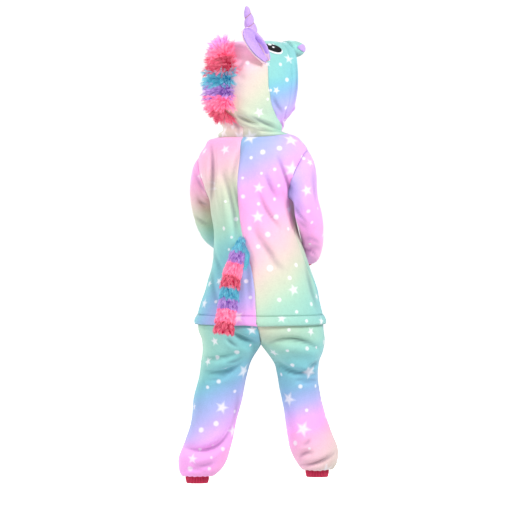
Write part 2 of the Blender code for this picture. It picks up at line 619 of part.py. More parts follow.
def make_body(positions, sheets, normals):
    colours = {1: material("plush_left", PALE), -1: material("plush_right", PINK)}
    names = {1: "left", -1: "right"}
    flare = np.array([FLARE * soft_step((t - FLARE_FROM) / (HEM_ROW - FLARE_FROM)) for t in positions])
    for side in (1, -1):
        grid, sign, _ = sheets[side, 1]
        normal = normals[side, 1]
        flared = grid + normal * flare[:, None, None]
        upper = rows_between(positions, 0, BAND_TOP)
        band = rows_between(positions, BAND_TOP, HEM_ROW)
        lower = rows_between(positions, OVERLAP_TOP, BODY_SECTIONS - 1)
        cloth(f"back_{names[side]}", flared[upper], normal[upper], sign, colours[side])
        puffed = flared[band] + normal[band] * 0.0012
        cloth(f"band_{names[side]}", puffed, normal[band], sign, colours[side], BAND_CLOTH)
        cloth(f"leg_back_{names[side]}", grid[lower], normal[lower], sign, material("plush_mint", MINT))
        grid, sign, _ = sheets[side, -1]
        cloth(f"front_{names[side]}", grid, normals[side, -1], sign, colours[side])
        grid, sign, _ = sheets["sleeve", side]
        cloth(f"sleeve_{names[side]}", grid, normals["sleeve", side], sign, colours[side], wrap=True)
        grid, sign, _ = sheets["hood", side]
        cut = HOOD_COLUMNS - FRONT_PANEL_COLUMNS
        normal = normals["hood", side]
        cloth(f"hood_back_{names[side]}", grid[:, : cut + 1], normal[:, : cut + 1], sign, colours[side])
        cloth(f"hood_front_{names[side]}", grid[:, cut:], normal[:, cut:], sign, material("plush_teal", TEAL))


def cuff_rings(loop, heading, length, swell, rows=3):
    """A cuff's rings, from the sleeve's or leg's last ring along its heading."""
    start = loop.mean(axis=0)
    spokes = loop - start
    spokes = spokes - np.outer(spokes @ heading, heading)
    rings = [loop]
    for k in range(1, rows + 1):
        t = k / rows
        size = 1 + swell * math.sin(math.pi * min(t * 1.15, 1)) - 0.04 * t
        rings.append(start + heading * length * t + spokes * size)
    return np.array(rings)


ANKLE_CUFF = 0.025
WRIST_CUFF = 0.036


def add_cuffs(sheets):
    """Rib cuffs that share the last ring of each leg and sleeve."""
    for side, leg in ((1, LEFT_LEG), (-1, RIGHT_LEG)):
        back, front = sheets[side, 1][0], sheets[side, -1][0]
        loop = np.vstack([back[-1], front[-1][::-1][1:-1]])
        down = np.array([0.0, 0.0, -1.0])
        sheets["ankle", side] = (cuff_rings(loop, down, ANKLE_CUFF, 0.05), side, True)
    for side, arm in ((1, LEFT_SLEEVE), (-1, RIGHT_SLEEVE)):
        sleeve = sheets["sleeve", side][0]
        heading = unit(sleeve[-1].mean(axis=0) - sleeve[-2].mean(axis=0))
        rings = cuff_rings(sleeve[-1], heading, WRIST_CUFF, 0.06)
        sheets["wrist", side] = (rings, -side, True)


def make_cuffs(sheets, normals):
    rib = material("rib", ROSE)
    for side, word in ((1, "left"), (-1, "right")):
        for kind in ("ankle", "wrist"):
            grid, sign, _ = sheets[kind, side]
            cloth(f"{kind}_cuff_{word}", grid, normals[kind, side], sign, rib, wrap=True)


def disc(name, ring_at, rings, spokes, finish):
    """A closed pad: ring_at(share, angle, top) gives the points of its two faces."""
    points, faces = [], []
    for top in (True, False):
        base = len(points)
        points.append(ring_at(0.0, 0.0, top))
        for r in range(1, rings + 1):
            points += [ring_at(r / rings, 2 * math.pi * k / spokes, top) for k in range(spokes)]
        made = []
        for k in range(spokes):
            n = (k + 1) % spokes
            made.append((base, base + 1 + k, base + 1 + n))
            for r in range(rings - 1):
                a, b = base + 1 + r * spokes, base + 1 + (r + 1) * spokes
                made.append((a + k, b + k, b + n, a + n))
        faces += made if top else [face[::-1] for face in made]
    high = 1 + (rings - 1) * spokes
    low = high + 1 + rings * spokes
    for k in range(spokes):
        n = (k + 1) % spokes
        faces.append((high + k, low + k, low + n, high + n))
    return add_node(name, points, faces, finish)


def outward_first(made):
    """Turn a closed object's faces outwards, whichever way they were listed."""
    mesh = made.data
    mesh.calc_loop_triangles()
    at = [np.array(v.co) for v in mesh.vertices]
    volume = sum(
        np.dot(at[t.vertices[0]], np.cross(at[t.vertices[1]], at[t.vertices[2]]))
        for t in mesh.loop_triangles
    )
    if volume < 0:
        mesh.flip_normals()
    return made


# ------------------------------------------------------------ eyes, horn and ears
EYE = {"u": 0.612, "v": 0.790, "long": 0.0265, "short": 0.0170, "tilt": -24.0}
EYE_DROP = {1: 0.100, -1: 0.0}           # the hood sits twisted, so the left eye is lower


def hood_pad(name, side, u0, v0, long, short, tilt, lift, thick, finish):
    """An oval pad lying on the hood, its long axis tilted from the way to the brim."""

    def surface(u, v):
        return head_point(u, v, side)

    step = 1e-3
    along_u = (surface(u0 + step, v0) - surface(u0 - step, v0)) / (2 * step)
    along_v = (surface(u0, v0 + step) - surface(u0, v0 - step)) / (2 * step)
    scale_u, scale_v = np.linalg.norm(along_u), np.linalg.norm(along_v)
    c, s = math.cos(math.radians(tilt)), math.sin(math.radians(tilt))

    def at(share, angle, top):
        p, q = long * share * math.cos(angle), short * share * math.sin(angle)
        u, v = u0 + (p * c - q * s) / scale_u, v0 + (p * s + q * c) / scale_v
        du = surface(u + step, v) - surface(u - step, v)
        dv = surface(u, v + step) - surface(u, v - step)
        normal = unit(np.cross(du, dv)) * -side
        height = lift + (thick if top else 0) - (0.35 * thick if top and share == 1 else 0)
        return in_head_frame(surface(u, v) + normal * height)

    return outward_first(disc(name, at, 2, 14, finish))


HORN_TIP = 0.0885
HORN_PITCH = 0.0256                     # between two turns of the cord
HORN_GROOVE = 0.0383                    # one turn's height at the angle below
HORN_GROOVE_ANGLE = math.radians(157.0)


def horn():
    """A stuffed horn, its cloth drawn in by a thread wound up it."""
    size = table(
        "height radius",
        (0.000, 0.0180), (0.018, 0.0170), (0.036, 0.0140), (0.0475, 0.0128),
        (0.064, 0.0102), (0.073, 0.0086), (0.081, 0.0064), (0.0865, 0.0036),
    )
    spokes, rows = 14, 15
    base = np.array([0.0, -0.0037, 0.1175])
    lean = math.radians(12.0)
    axis = np.array([0.0, math.sin(lean), math.cos(lean)])
    aside = np.array([1.0, 0.0, 0.0])
    behind = np.cross(axis, aside)
    points, faces = [], []
    for r in range(rows):
        h = size["height"][-1] * r / (rows - 1)
        for k in range(spokes):
            angle = 2 * math.pi * k / spokes
            turns = (angle - HORN_GROOVE_ANGLE) / (2 * math.pi)
            phase = (h - HORN_GROOVE - HORN_PITCH * (turns - 0.5)) % HORN_PITCH - HORN_PITCH / 2
            wound = 0.24 * math.exp(-((phase / 0.0042) ** 2)) * soft_step(h / 0.012)
            radius = np.interp(h, size["height"], size["radius"]) * (1 - wound)
            point = base + axis * h + radius * (math.cos(angle) * aside + math.sin(angle) * behind)
            if r == 0:
                drop = abs(point[0]) ** 2 / (HEAD_SIDE**2 * 2.6)
                point[2] = 0.1187 * (1 - drop) - 0.9 * (point[1]) ** 2
            points.append(point)
    points.append(np.array([0.0, base[1], 0.1195]))
    points.append(base + axis * HORN_TIP)
    for r in range(rows - 1):
        for k in range(spokes):
            a, b = r * spokes + k, r * spokes + (k + 1) % spokes
            faces.append((a, b, b + spokes, a + spokes))
    last = (rows - 1) * spokes
    for k in range(spokes):
        n = (k + 1) % spokes
        faces.append((n, k, rows * spokes))
        faces.append((last + k, last + n, rows * spokes + 1))
    outward_first(add_node("horn", in_head_frame(points), faces, material("lilac_velour", LILAC)))


EAR_OUTLINE = table(
    "share width",
    (0.00, 0.26), (0.16, 0.62), (0.34, 0.90), (0.54, 1.00), (0.74, 0.96), (0.90, 0.76), (1.00, 0.40),
)
# Base to tip in the head frame.  The left ear has flopped outwards and back.
EAR_AXIS = {-1: (-0.017, 0.055, 0.082), 1: (0.068, 0.035, 0.065)}
EAR_CLEARANCE = {-1: 0.0020, 1: 0.0008}     # from the side of the hood
EAR_LINING_CLEARANCE = {-1: 4.2, 1: 6.0}    # and for the lining, as a multiple of its lift


def ear_grid(side, margin, lift):
    """A cupped leaf, as a grid from its base to its tip; margin draws its edge in."""
    base = np.array([0.082 * side, 0.0050, 0.060])
    axis = unit(EAR_AXIS[side])
    facing = np.array([0.95 * side, -0.25, 0.05])
    facing = unit(facing - axis * np.dot(facing, axis))
    wide = np.cross(axis, facing)
    rows = []
    for share in EAR_OUTLINE["share"]:
        share = margin * 0.6 + share * (1 - margin * 1.2)
        half = EAR_WIDTH / 2 * np.interp(share, EAR_OUTLINE["share"], EAR_OUTLINE["width"])
        half *= 1 - margin
        row = []
        for w in np.linspace(-1, 1, 7):
            cup = (0.021 - 0.013 * share) * w * w * (1 - margin) - 0.010 * share**2
            point = base + axis * EAR_LENGTH * share + wide * half * w + facing * (cup + lift)
            row.append(clear_of_hood(point, side, EAR_CLEARANCE[side] + EAR_LINING_CLEARANCE[side] * lift))
        rows.append(row)
    return np.array(rows), facing


def clear_of_hood(point, side, clearance):
    """The point, moved sideways if need be to stand clear of the side of the hood."""
    up = point[2] / HEAD_UP
    backward = point[1] / HEAD_BACK
    if abs(up) >= 1 or abs(backward) >= 1:
        return point
    beside = HEAD_SIDE * math.sqrt(1 - abs(up) ** 2.6)
    beside *= math.sqrt(1 - backward**2.4) if backward > 0 else 1 - 0.2 * backward**2
    out = max(point[0] * side, beside + clearance)
    return np.array([out * side, point[1], point[2]])


def ears():
    for side, word in ((1, "left"), (-1, "right")):
        grid, facing = ear_grid(side, 0.0, 0.0)
        thick = facing * -0.0022
        outward_first(wall(f"ear_outer_{word}", in_head_frame(grid), in_head_frame(grid + thick), 1,
                           material("plush_pale", PALE)))
        grid, facing = ear_grid(side, 0.12, 0.0010)
        outward_first(wall(f"ear_inner_{word}", in_head_frame(grid + facing * 0.0016), in_head_frame(grid), 1,
                           material("lilac_velour", LILAC)))


MUZZLE = {"back": -0.0963, "deep": 0.0420, "wide": 0.046, "tall": 0.0220, "up": 0.0980, "power": 2.4}


def muzzle_point(sideways, upward, lift):
    """A point of the muzzle's front, in the head frame, lifted off it."""
    p = MUZZLE["power"]
    a, b = sideways / MUZZLE["wide"], (upward - MUZZLE["up"]) / MUZZLE["tall"]
    f = max(1 - abs(a) ** p - abs(b) ** p, 0) ** (1 / p)
    slope = np.array([
        abs(a) ** (p - 1) * np.sign(a) / MUZZLE["wide"],
        -(f ** (p - 1)) / MUZZLE["deep"],
        abs(b) ** (p - 1) * np.sign(b) / MUZZLE["tall"],
    ])
    return np.array([sideways, MUZZLE["back"] - MUZZLE["deep"] * f, upward]) + unit(slope) * lift


def muzzle():
    """A stuffed pad on the brim, flat at the back, with two nostrils."""
    p, spokes = MUZZLE["power"], 16
    shares = (0.0, 0.32, 0.6, 0.82, 0.95)
    points, faces = [], []
    for f in shares:
        q = (1 - f**p) ** (1 / p)
        for k in range(spokes):
            c, s = math.cos(2 * math.pi * k / spokes), math.sin(2 * math.pi * k / spokes)
            points.append([
                MUZZLE["wide"] * q * abs(c) ** (2 / p) * np.sign(c),
                MUZZLE["back"] - MUZZLE["deep"] * f,
                MUZZLE["up"] + MUZZLE["tall"] * q * abs(s) ** (2 / p) * np.sign(s),
            ])
    points += [[0, MUZZLE["back"], MUZZLE["up"]], [0, MUZZLE["back"] - MUZZLE["deep"], MUZZLE["up"]]]
    for r in range(len(shares) - 1):
        for k in range(spokes):
            a, b = r * spokes + k, r * spokes + (k + 1) % spokes
            faces.append((a, b, b + spokes, a + spokes))
    last, hub = (len(shares) - 1) * spokes, len(shares) * spokes
    for k in range(spokes):
        n = (k + 1) % spokes
        faces += [(n, k, hub), (last + k, last + n, hub + 1)]
    outward_first(add_node("muzzle", in_head_frame(points), faces, material("plush_teal", TEAL)))
    for side, word in ((1, "left"), (-1, "right")):

        def at(share, angle, top, side=side):
            sideways = side * 0.0330 + 0.0100 * share * math.cos(angle)
            upward = MUZZLE["up"] + 0.002 + 0.0085 * share * math.sin(angle)
            height = 0.0006 + (0.0014 if top else 0) - (0.0005 if top and share == 1 else 0)
            return in_head_frame(muzzle_point(sideways, upward, height))

        outward_first(disc(f"nostril_{word}", at, 2, 12, material("lilac_velour", LILAC)))


# --------------------------------------------------------------- mane and tail
def with_locks(name, points, faces, hairy, lengths, lean_at, finish):
    """A closed mesh whose hairy faces each grow into one blunt four-sided lock.  lean_at
    gives the way a lock at a point falls and how far it stands, as shares of its length."""
    points = [np.asarray(p, float) for p in points]
    made = [face for i, face in enumerate(faces) if i not in hairy]
    for count, i in enumerate(hairy):
        face = faces[i]
        corners = [points[k] for k in face]
        middle = sum(corners) / 4
        normal = unit(np.cross(corners[2] - corners[0], corners[3] - corners[1]))
        length = lengths * (0.86 + 0.14 * math.sin(count * 2.4 + len(name)))
        lean, stand = lean_at(middle)
        lean, normal = np.asarray(lean) * length, normal * stand
        ring = len(points)
        for corner in corners:
            points.append(middle + (corner - middle) * 0.72 + normal * length * 0.55 + lean * 0.30)
        points.append(middle + normal * length + lean)
        for k in range(4):
            n = (k + 1) % 4
            made.append((face[k], face[n], ring + n, ring + k))
            made.append((ring + k, ring + n, ring + 4))
    return outward_first(add_node(name, points, made, finish))


def sampled(grid, row, column):
    """A point of a grid between its rows and columns."""
    r, c = min(int(row), len(grid) - 2), min(int(column), grid.shape[1] - 2)
    p, q = row - r, column - c
    top = grid[r, c] * (1 - q) + grid[r, c + 1] * q
    return top * (1 - p) + (grid[r + 1, c] * (1 - q) + grid[r + 1, c + 1] * q) * p


# reach: half the backing's width in hood columns; fall and spread: how far the locks
# hang and part, as shares of their length.
MANE = table(
    "band            top_z  bottom_z length reach fall spread",
    ("mane_lilac",   0.2262, 0.2165, 0.021, 2, -0.20, 0.3),
    ("mane_pink",    0.2160, 0.1955, 0.021, 3, 0.30, 0.8),
    ("mane_rose",    0.1950, 0.1600, 0.022, 3, 0.42, 0.8),
    ("mane_blue",    0.1595, 0.1290, 0.022, 3, 0.42, 0.8),
    ("mane_violet",  0.1285, 0.1015, 0.021, 3, 0.42, 0.8),
    ("mane_candy",   0.1010, 0.0755, 0.020, 3, 0.30, 0.6),
    ("mane_crimson", 0.0750, 0.0500, 0.016, 2, 0.05, 0.1),
)
MANE_SHIFT = 2            # columns by which the strip lies to the wearer's right
BAND_COLOURS = {
    "lilac": VIOLET, "pink": CANDY, "rose": ROSE, "blue": SKY, "violet": VIOLET,
    "candy": CANDY, "crimson": ROSE,
}


def mane(sheets, normals):
    """Striped locks on a strip down the hood's back seam, one node per stripe."""
    heights = sheets["hood", 1][0][:, 0, 2]
    rows = np.arange(len(heights))
    for i, name in enumerate(MANE["band"]):
        top = np.interp(MANE["top_z"][i], heights, rows)
        bottom = np.interp(MANE["bottom_z"][i], heights, rows)
        count = 4
        across = np.arange(-MANE["reach"][i], MANE["reach"][i] + 1) - MANE_SHIFT
        low, high = [], []
        for k in range(count):
            row = top + (bottom - top) * k / (count - 1)
            for c in across:
                side = 1 if c > 0 else -1
                point = sampled(sheets["hood", side][0], row, abs(c))
                normal = unit(sampled(normals["hood", side], row, abs(c)))
                low.append(point + normal * 0.0013)
                high.append(point + normal * 0.0042)
        points = high + low
        n, cols = count * len(across), len(across)
        faces = []
        for r in range(count - 1):
            for c in range(cols - 1):
                a = r * cols + c
                faces.append((a, a + 1, a + cols + 1, a + cols))
        hairy = list(range(len(faces)))
        faces += [tuple(n + k for k in reversed(face)) for face in faces]
        rim = [c for c in range(cols)] + [r * cols + cols - 1 for r in range(1, count)]
        rim += [(count - 1) * cols + c for c in range(cols - 2, -1, -1)]
        rim += [r * cols for r in range(count - 2, 0, -1)]
        for a, b in zip(rim, rim[1:] + rim[:1]):
            faces.append((b, a, n + a, n + b))
        colour = material(str(name).replace("mane_", "pile_"), BAND_COLOURS[str(name)[5:]], 0.95)
        centre = sum(high) / len(high)

        def fall(point, centre=centre, droop=MANE["fall"][i], spread=MANE["spread"][i]):
            away = (point - centre) * np.array([1, 1, 0])
            round_to = np.linalg.norm(away) / 0.050
            return unit(away) * min(round_to, 1) * spread + np.array([0, 0, -droop]), 1.0 - 0.25 * round_to

        with_locks(str(name), points, faces, hairy, MANE["length"][i], fall, colour)


TAIL = table(
    "band             x       y      z       half_width half_deep",
    ("tail_blue",      0.0385, 0.0975, -0.2555, 0.0140, 0.0080),
    ("tail_violet",    0.0465, 0.1031, -0.2860, 0.0185, 0.0105),
    ("tail_candy",     0.0540, 0.1095, -0.3120, 0.0215, 0.0115),
    ("tail_rose",      0.0620, 0.1160, -0.3435, 0.0230, 0.0120),
    ("tail_sky",       0.0670, 0.1230, -0.3730, 0.0230, 0.0120),
    ("tail_plum",      0.0700, 0.1300, -0.4010, 0.0230, 0.0120),
    ("tail_pink",      0.0740, 0.1375, -0.4270, 0.0235, 0.0120),
    ("tail_crimson",   0.0785, 0.1438, -0.4565, 0.0245, 0.0120),
    ("end",            0.0825, 0.1465, -0.4840, 0.0245, 0.0120),
)
TAIL_COLOURS = {
    "blue": SKY, "violet": VIOLET, "candy": CANDY, "rose": ROSE, "sky": SKY,
    "plum": VIOLET, "pink": CANDY, "crimson": ROSE,
}


def tail():
    """A striped tail of stacked stripes, each a short stuffed skirt of locks."""
    spokes = 8
    middles = np.stack([TAIL["x"], TAIL["y"], TAIL["z"]], axis=1)
    headings = [unit(b - a) for a, b in zip(middles, middles[1:])]
    joins = [unit(a + b) for a, b in zip([headings[0]] + headings, headings + [headings[-1]])]
    for i, name in enumerate(TAIL["band"][:-1]):
        start, end = middles[i] + joins[i] * SEAM_GAP / 2, middles[i + 1] - joins[i + 1] * SEAM_GAP / 2
        heading = headings[i]
        wide, deep = TAIL["half_width"][i], TAIL["half_deep"][i]
        points = []
        for share, size, way in ((0, 0.80, joins[i]), (0.5, 0.90, heading), (1, 0.98, joins[i + 1])):
            behind = unit(np.array([0, 1.0, 0]) - way * way[1])
            aside = np.cross(behind, way)
            for k in range(spokes):
                angle = 2 * math.pi * (k + 0.5) / spokes
                centre = start + (end - start) * share
                points.append(centre + size * (
                    wide * math.cos(angle) * aside + deep * math.sin(angle) * behind))
        points += [start, end]
        faces = []
        for r in range(2):
            for k in range(spokes):
                a, b = r * spokes + k, r * spokes + (k + 1) % spokes
                faces.append((a, b, b + spokes, a + spokes))
        hairy = list(range(len(faces)))
        for k in range(spokes):
            n = (k + 1) % spokes
            faces.append((n, k, 3 * spokes))
            faces.append((2 * spokes + k, 2 * spokes + n, 3 * spokes + 1))
        corners = [points[q] for q in faces[0]]
        facing = np.cross(corners[2] - corners[0], corners[3] - corners[1])
        if np.dot(facing, sum(corners) / 4 - (start + end) / 2) < 0:
            faces = [face[::-1] for face in faces]
        colour = material(str(name).replace("tail_", "pile_"), TAIL_COLOURS[str(name)[5:]], 0.95)
        with_locks(str(name), points, faces, hairy, 0.0058, lambda point, way=heading * 0.65: (way, 1.0), colour)


# ------------------------------------------------------- the buttoned front edge
BUTTON_HEIGHTS = (-0.045, -0.125, -0.205, -0.285, -0.365)


def placket(sheets, normals):
    """A facing strip down the centre front and the buttons on it."""
    left, right = sheets[1, -1][0], sheets[-1, -1][0]
    left_normals, right_normals = normals[1, -1], normals[-1, -1]
    across = (-0.72, 0.0, 0.72)
    last = int(np.argmin(np.abs(left[:, 0, 2] + 0.43)))

    def strip_point(row, c, lift):
        grid, normal = (left, left_normals) if c >= 0 else (right, right_normals)
        return sampled(grid, row, abs(c)) + unit(sampled(normal, row, abs(c))) * lift

    rows = [r + 0.25 if r == 0 else r for r in range(last + 1)]
    outer = np.array([[strip_point(r, c, 0.0032) for c in across] for r in rows])
    inner = np.array([[strip_point(r, c, 0.0010) for c in across] for r in rows])
    outward_first(wall("placket", outer, inner, 1, material("plush_pale", PALE)))
    heights = left[: last + 1, 0, 2][::-1]
    numbers = np.arange(last + 1)[::-1]
    for i, z in enumerate(BUTTON_HEIGHTS):
        row = np.interp(z, heights, numbers)
        middle = strip_point(row, 0.0, 0.0037)
        normal = unit(sampled(left_normals, row, 0.0))
        aside = unit(np.cross(normal, [0, 0, 1.0]))
        upward = np.cross(aside, normal)

        def at(share, angle, top, middle=middle, normal=normal, aside=aside, upward=upward):
            flat = BUTTON_RADIUS * share * (math.cos(angle) * aside + math.sin(angle) * upward)
            dish = 0.0 if share == 1 else -0.0006
            return middle + flat + normal * (BUTTON_THICK + dish if top else 0.0)

        outward_first(disc(f"button_{i + 1}", at, 2, 12, material("button", (0.92, 0.88, 0.95), 0.35)))


bpy.context.scene.collection.children.link(parts)
for old in list(bpy.data.objects):
    bpy.data.objects.remove(old)

positions, sheets, normals = build_body()
make_body(positions, sheets, normals)
make_cuffs(sheets, normals)
for side, word in ((1, "left"), (-1, "right")):
    white, black = material("eye_white", (0.93, 0.93, 0.95)), material("eye_black", (0.02, 0.02, 0.03))
    v = EYE["v"] - EYE_DROP[side]
    hood_pad(f"eye_{word}", side, EYE["u"], v, EYE["long"], EYE["short"], EYE["tilt"], 0.0009, 0.0012, white)
    hood_pad(f"pupil_{word}", side, EYE["u"], v + 0.006, EYE["long"] - 0.003, EYE["short"] - 0.003,
             EYE["tilt"], 0.0026, 0.0012, black)
horn()
ears()
muzzle()
mane(sheets, normals)
tail()
placket(sheets, normals)
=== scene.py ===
"""Looks of a child's unicorn onesie: rainbow-printed plush with stars and dots, a long
striped mane and tail, a wound horn, lilac-lined ears, felt eyes and rib cuffs.

Metres, +Z up, origin at the middle of the neck seam.  The hips face -Y and the
wearer's left is +X.  Every piece lies on the form of its solid in the frame.
"""

import math

import bpy
import numpy as np
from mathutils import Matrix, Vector


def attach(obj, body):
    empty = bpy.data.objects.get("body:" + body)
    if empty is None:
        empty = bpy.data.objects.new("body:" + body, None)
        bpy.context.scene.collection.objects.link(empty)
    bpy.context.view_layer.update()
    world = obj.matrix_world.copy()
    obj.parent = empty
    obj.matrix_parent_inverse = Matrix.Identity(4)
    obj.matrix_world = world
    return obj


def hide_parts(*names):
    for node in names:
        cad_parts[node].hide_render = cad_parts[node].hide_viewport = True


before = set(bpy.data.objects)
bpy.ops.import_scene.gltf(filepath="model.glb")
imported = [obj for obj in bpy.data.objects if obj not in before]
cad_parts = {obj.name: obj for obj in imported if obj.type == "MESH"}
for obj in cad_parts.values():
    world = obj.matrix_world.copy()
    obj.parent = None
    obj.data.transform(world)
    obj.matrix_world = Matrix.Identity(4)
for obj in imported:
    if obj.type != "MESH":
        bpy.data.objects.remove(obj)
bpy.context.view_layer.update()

# ------------------------------ studio
# A pale floor a little below the ankle cuffs, broad soft lights on both sides, and a
# camera that looks at the back from slightly above.
FLOOR_Z = -0.905
VIEW_CENTRE = Vector((0.00875, 0.0, -0.2875))
VIEW_DISTANCE = 9.0
VIEW_RISE = math.radians(0.6)
VIEW_WIDTH = 507 / 400            # metres across the frame at the garment
SENSOR = 36.0
FLOOR_HALF = 30.0
FLOOR_GLOW = (0.06, 0.90)         # light cast on the cloth, and light seen
BACKDROP_GLOW = (0.36, 1.05)
WHITE = (1.0, 1.0, 1.0, 1.0)
LIGHTS_AIM = Vector((0, 0, -0.3))
LIGHTS = (                        # name, place, width and watts
    ("key", (-1.5, 1.7, 1.1), 0.8, 51),
    ("fill", (2.4, 1.6, 0.7), 1.6, 40),
    ("front key", (2.0, -2.2, 1.5), 1.2, 60),
    ("front fill", (-2.4, -2.4, 0.6), 2.2, 16),
    ("top", (0.0, 0.3, 2.6), 1.6, 9),
)


def srgb(red, green, blue):
    """A colour given as 0 to 255 on a screen, as the linear values that shaders take."""
    shares = [c / 255 for c in (red, green, blue)]
    return tuple(c / 12.92 if c < 0.04045 else ((c + 0.055) / 1.055) ** 2.4 for c in shares) + (1.0,)


def only_where_seen(tree, cast, seen, socket):
    """A strength that differs for what is cast on the cloth and what the camera sees."""
    path = tree.nodes.new("ShaderNodeLightPath")
    strength = tree.nodes.new("ShaderNodeMapRange")
    strength.inputs["To Min"].default_value = cast
    strength.inputs["To Max"].default_value = seen
    tree.links.new(path.outputs["Is Camera Ray"], strength.inputs["Value"])
    tree.links.new(strength.outputs["Result"], socket)


def floor_finish():
    made = bpy.data.materials.new("pale studio floor")
    made.use_nodes = True
    shader = made.node_tree.nodes["Principled BSDF"]
    shader.inputs["Base Color"].default_value = srgb(222, 222, 222)
    shader.inputs["Roughness"].default_value = 0.9
    shader.inputs["Emission Color"].default_value = WHITE
    only_where_seen(made.node_tree, *FLOOR_GLOW, shader.inputs["Emission Strength"])
    return made


def studio_floor():
    mesh = bpy.data.meshes.new("studio_floor")
    corners = [(x * FLOOR_HALF, y * FLOOR_HALF, FLOOR_Z) for x, y in ((-1, -1), (1, -1), (1, 1), (-1, 1))]
    mesh.from_pydata(corners, [], [(0, 1, 2, 3)])
    mesh.materials.append(floor_finish())
    made = bpy.data.objects.new("studio_floor", mesh)
    bpy.context.collection.objects.link(made)


def soft_light(name, place, width, power):
    lamp = bpy.data.lights.new(name, "AREA")
    lamp.shape = "RECTANGLE"
    lamp.size = lamp.size_y = width
    lamp.energy = power
    made = bpy.data.objects.new(name, lamp)
    made.location = place
    made.rotation_euler = (LIGHTS_AIM - Vector(place)).to_track_quat("-Z", "Y").to_euler()
    bpy.context.collection.objects.link(made)


studio_floor()
for light in LIGHTS:
    soft_light(*light)

world = bpy.data.worlds.new("white studio")
world.use_nodes = True
backdrop = world.node_tree.nodes["Background"]
backdrop.inputs["Color"].default_value = WHITE
only_where_seen(world.node_tree, *BACKDROP_GLOW, backdrop.inputs["Strength"])
bpy.context.scene.world = world
bpy.context.scene.view_settings.view_transform = "Standard"

lens = bpy.data.cameras.new("camera")
lens.sensor_width = SENSOR
lens.lens = SENSOR * VIEW_DISTANCE / VIEW_WIDTH
camera = bpy.data.objects.new("camera", lens)
camera.location = VIEW_CENTRE + VIEW_DISTANCE * Vector((0, math.cos(VIEW_RISE), math.sin(VIEW_RISE)))
camera.rotation_euler = (VIEW_CENTRE - camera.location).to_track_quat("-Z", "Y").to_euler()
bpy.context.collection.objects.link(camera)
bpy.context.scene.camera = camera


# ------------------------------ rainbow plush
# Short-piled polyester plush, printed on the roll with a diagonal pastel rainbow and
# white stars and dots.  Each cut piece carries its own stretch of the rainbow, kept
# on its points as "rainbow", and the nearest printed mark as "mark" and "dot".
# The colour is also darkened along each piece's sharp creases, as painted shade kept on its points.
RAINBOW = (                       # place in the cycle, then red, green and blue
    (0.00, 255, 172, 240), (0.06, 250, 178, 220), (0.12, 244, 198, 212), (0.20, 218, 212, 192),
    (0.27, 200, 216, 192), (0.34, 172, 216, 194), (0.43, 152, 211, 201), (0.52, 124, 199, 207),
    (0.60, 136, 190, 222), (0.67, 152, 179, 228), (0.75, 178, 182, 238), (0.82, 201, 178, 242),
    (0.91, 236, 176, 246), (1.00, 255, 172, 240),
)
MARK_WHITE = srgb(250, 246, 252)
MARK_COVER = 0.72                 # how much of the plush the white ink hides
MARK_EDGE = 2.8                   # how quickly the ink ends at a mark's edge
STAR_VALLEY = 0.50                # a star's inner corners, as a share of its points' reach
DOT_RADIUS = 0.62                 # a dot's, in the same measure
# Painted shade along the sharp creases: how far the plush's colour is multiplied towards a dull violet
# there.
PAINTED_CREASE_SHADE = 0.50
PAINTED_CREASE_SHADE_TINT = srgb(112, 108, 142)


def link(tree, start, end):
    tree.links.new(start, end)


def maths(tree, operation, first, second=0.0, third=0.0):
    """A maths node; each input is a socket or a number."""
    node = tree.nodes.new("ShaderNodeMath")
    node.operation = operation
    for slot, value in enumerate((first, second, third)):
        if isinstance(value, (int, float)):
            node.inputs[slot].default_value = value
        else:
            link(tree, value, node.inputs[slot])
    return node.outputs[0]


def point_value(tree, name, vector=False):
    node = tree.nodes.new("ShaderNodeAttribute")
    node.attribute_name = name
    return node.outputs["Vector" if vector else "Fac"]


def speckle(tree, scale, detail=2.0):
    """Fine three-dimensional noise in the garment's own space."""
    place = tree.nodes.new("ShaderNodeTexCoord")
    noise = tree.nodes.new("ShaderNodeTexNoise")
    noise.inputs["Scale"].default_value = scale
    noise.inputs["Detail"].default_value = detail
    link(tree, place.outputs["Object"], noise.inputs["Vector"])
    return noise.outputs["Fac"]


def blended(tree, share, first, second, kind="MIX"):
    """Two colours mixed; each is a socket or a colour."""
    node = tree.nodes.new("ShaderNodeMix")
    node.data_type = "RGBA"
    node.blend_type = kind
    for name, value in (("Factor", share), ("A", first), ("B", second)):
        socket = [s for s in node.inputs if s.name == name and (s.type == "RGBA") == (name != "Factor")][0]
        if isinstance(value, (int, float, tuple)):
            socket.default_value = value
        else:
            link(tree, value, socket)
    return [s for s in node.outputs if s.type == "RGBA"][0]


def star_and_dot(tree, across, up):
    """How far a point is inside a five-pointed star of radius 1, and inside a dot."""
    wedge = math.pi / 5
    slope = np.array([math.sin(wedge) * STAR_VALLEY, 1 - math.cos(wedge) * STAR_VALLEY])
    slope = slope / np.linalg.norm(slope)
    angle = maths(tree, "ARCTAN2", across, up)
    folded = maths(tree, "PINGPONG", angle, wedge)
    squares = [maths(tree, "MULTIPLY", way, way) for way in (across, up)]
    radius = maths(tree, "SQRT", maths(tree, "ADD", *squares))
    along_point = maths(tree, "MULTIPLY", maths(tree, "COSINE", folded), float(slope[0]))
    across_point = maths(tree, "MULTIPLY", maths(tree, "SINE", folded), float(slope[1]))
    edge = maths(tree, "MULTIPLY", radius, maths(tree, "ADD", along_point, across_point))
    return maths(tree, "SUBTRACT", float(slope[0]), edge), maths(tree, "SUBTRACT", DOT_RADIUS, radius)


def darkened(tree, colour, amount):
    """A colour times a grey, the amount of which comes from a socket."""
    grey = tree.nodes.new("ShaderNodeCombineColor")
    for channel in grey.inputs:
        link(tree, amount, channel)
    return blended(tree, 1.0, colour, grey.outputs[0], "MULTIPLY")


def kept_within(tree, value):
    """A value kept between 0 and 1."""
    return maths(tree, "MINIMUM", maths(tree, "MAXIMUM", value, 0.0), 1.0)


def centred(tree, value, size):
    """Noise of 0 to 1 made to waver round 0."""
    return maths(tree, "MULTIPLY", maths(tree, "SUBTRACT", value, 0.5), size)


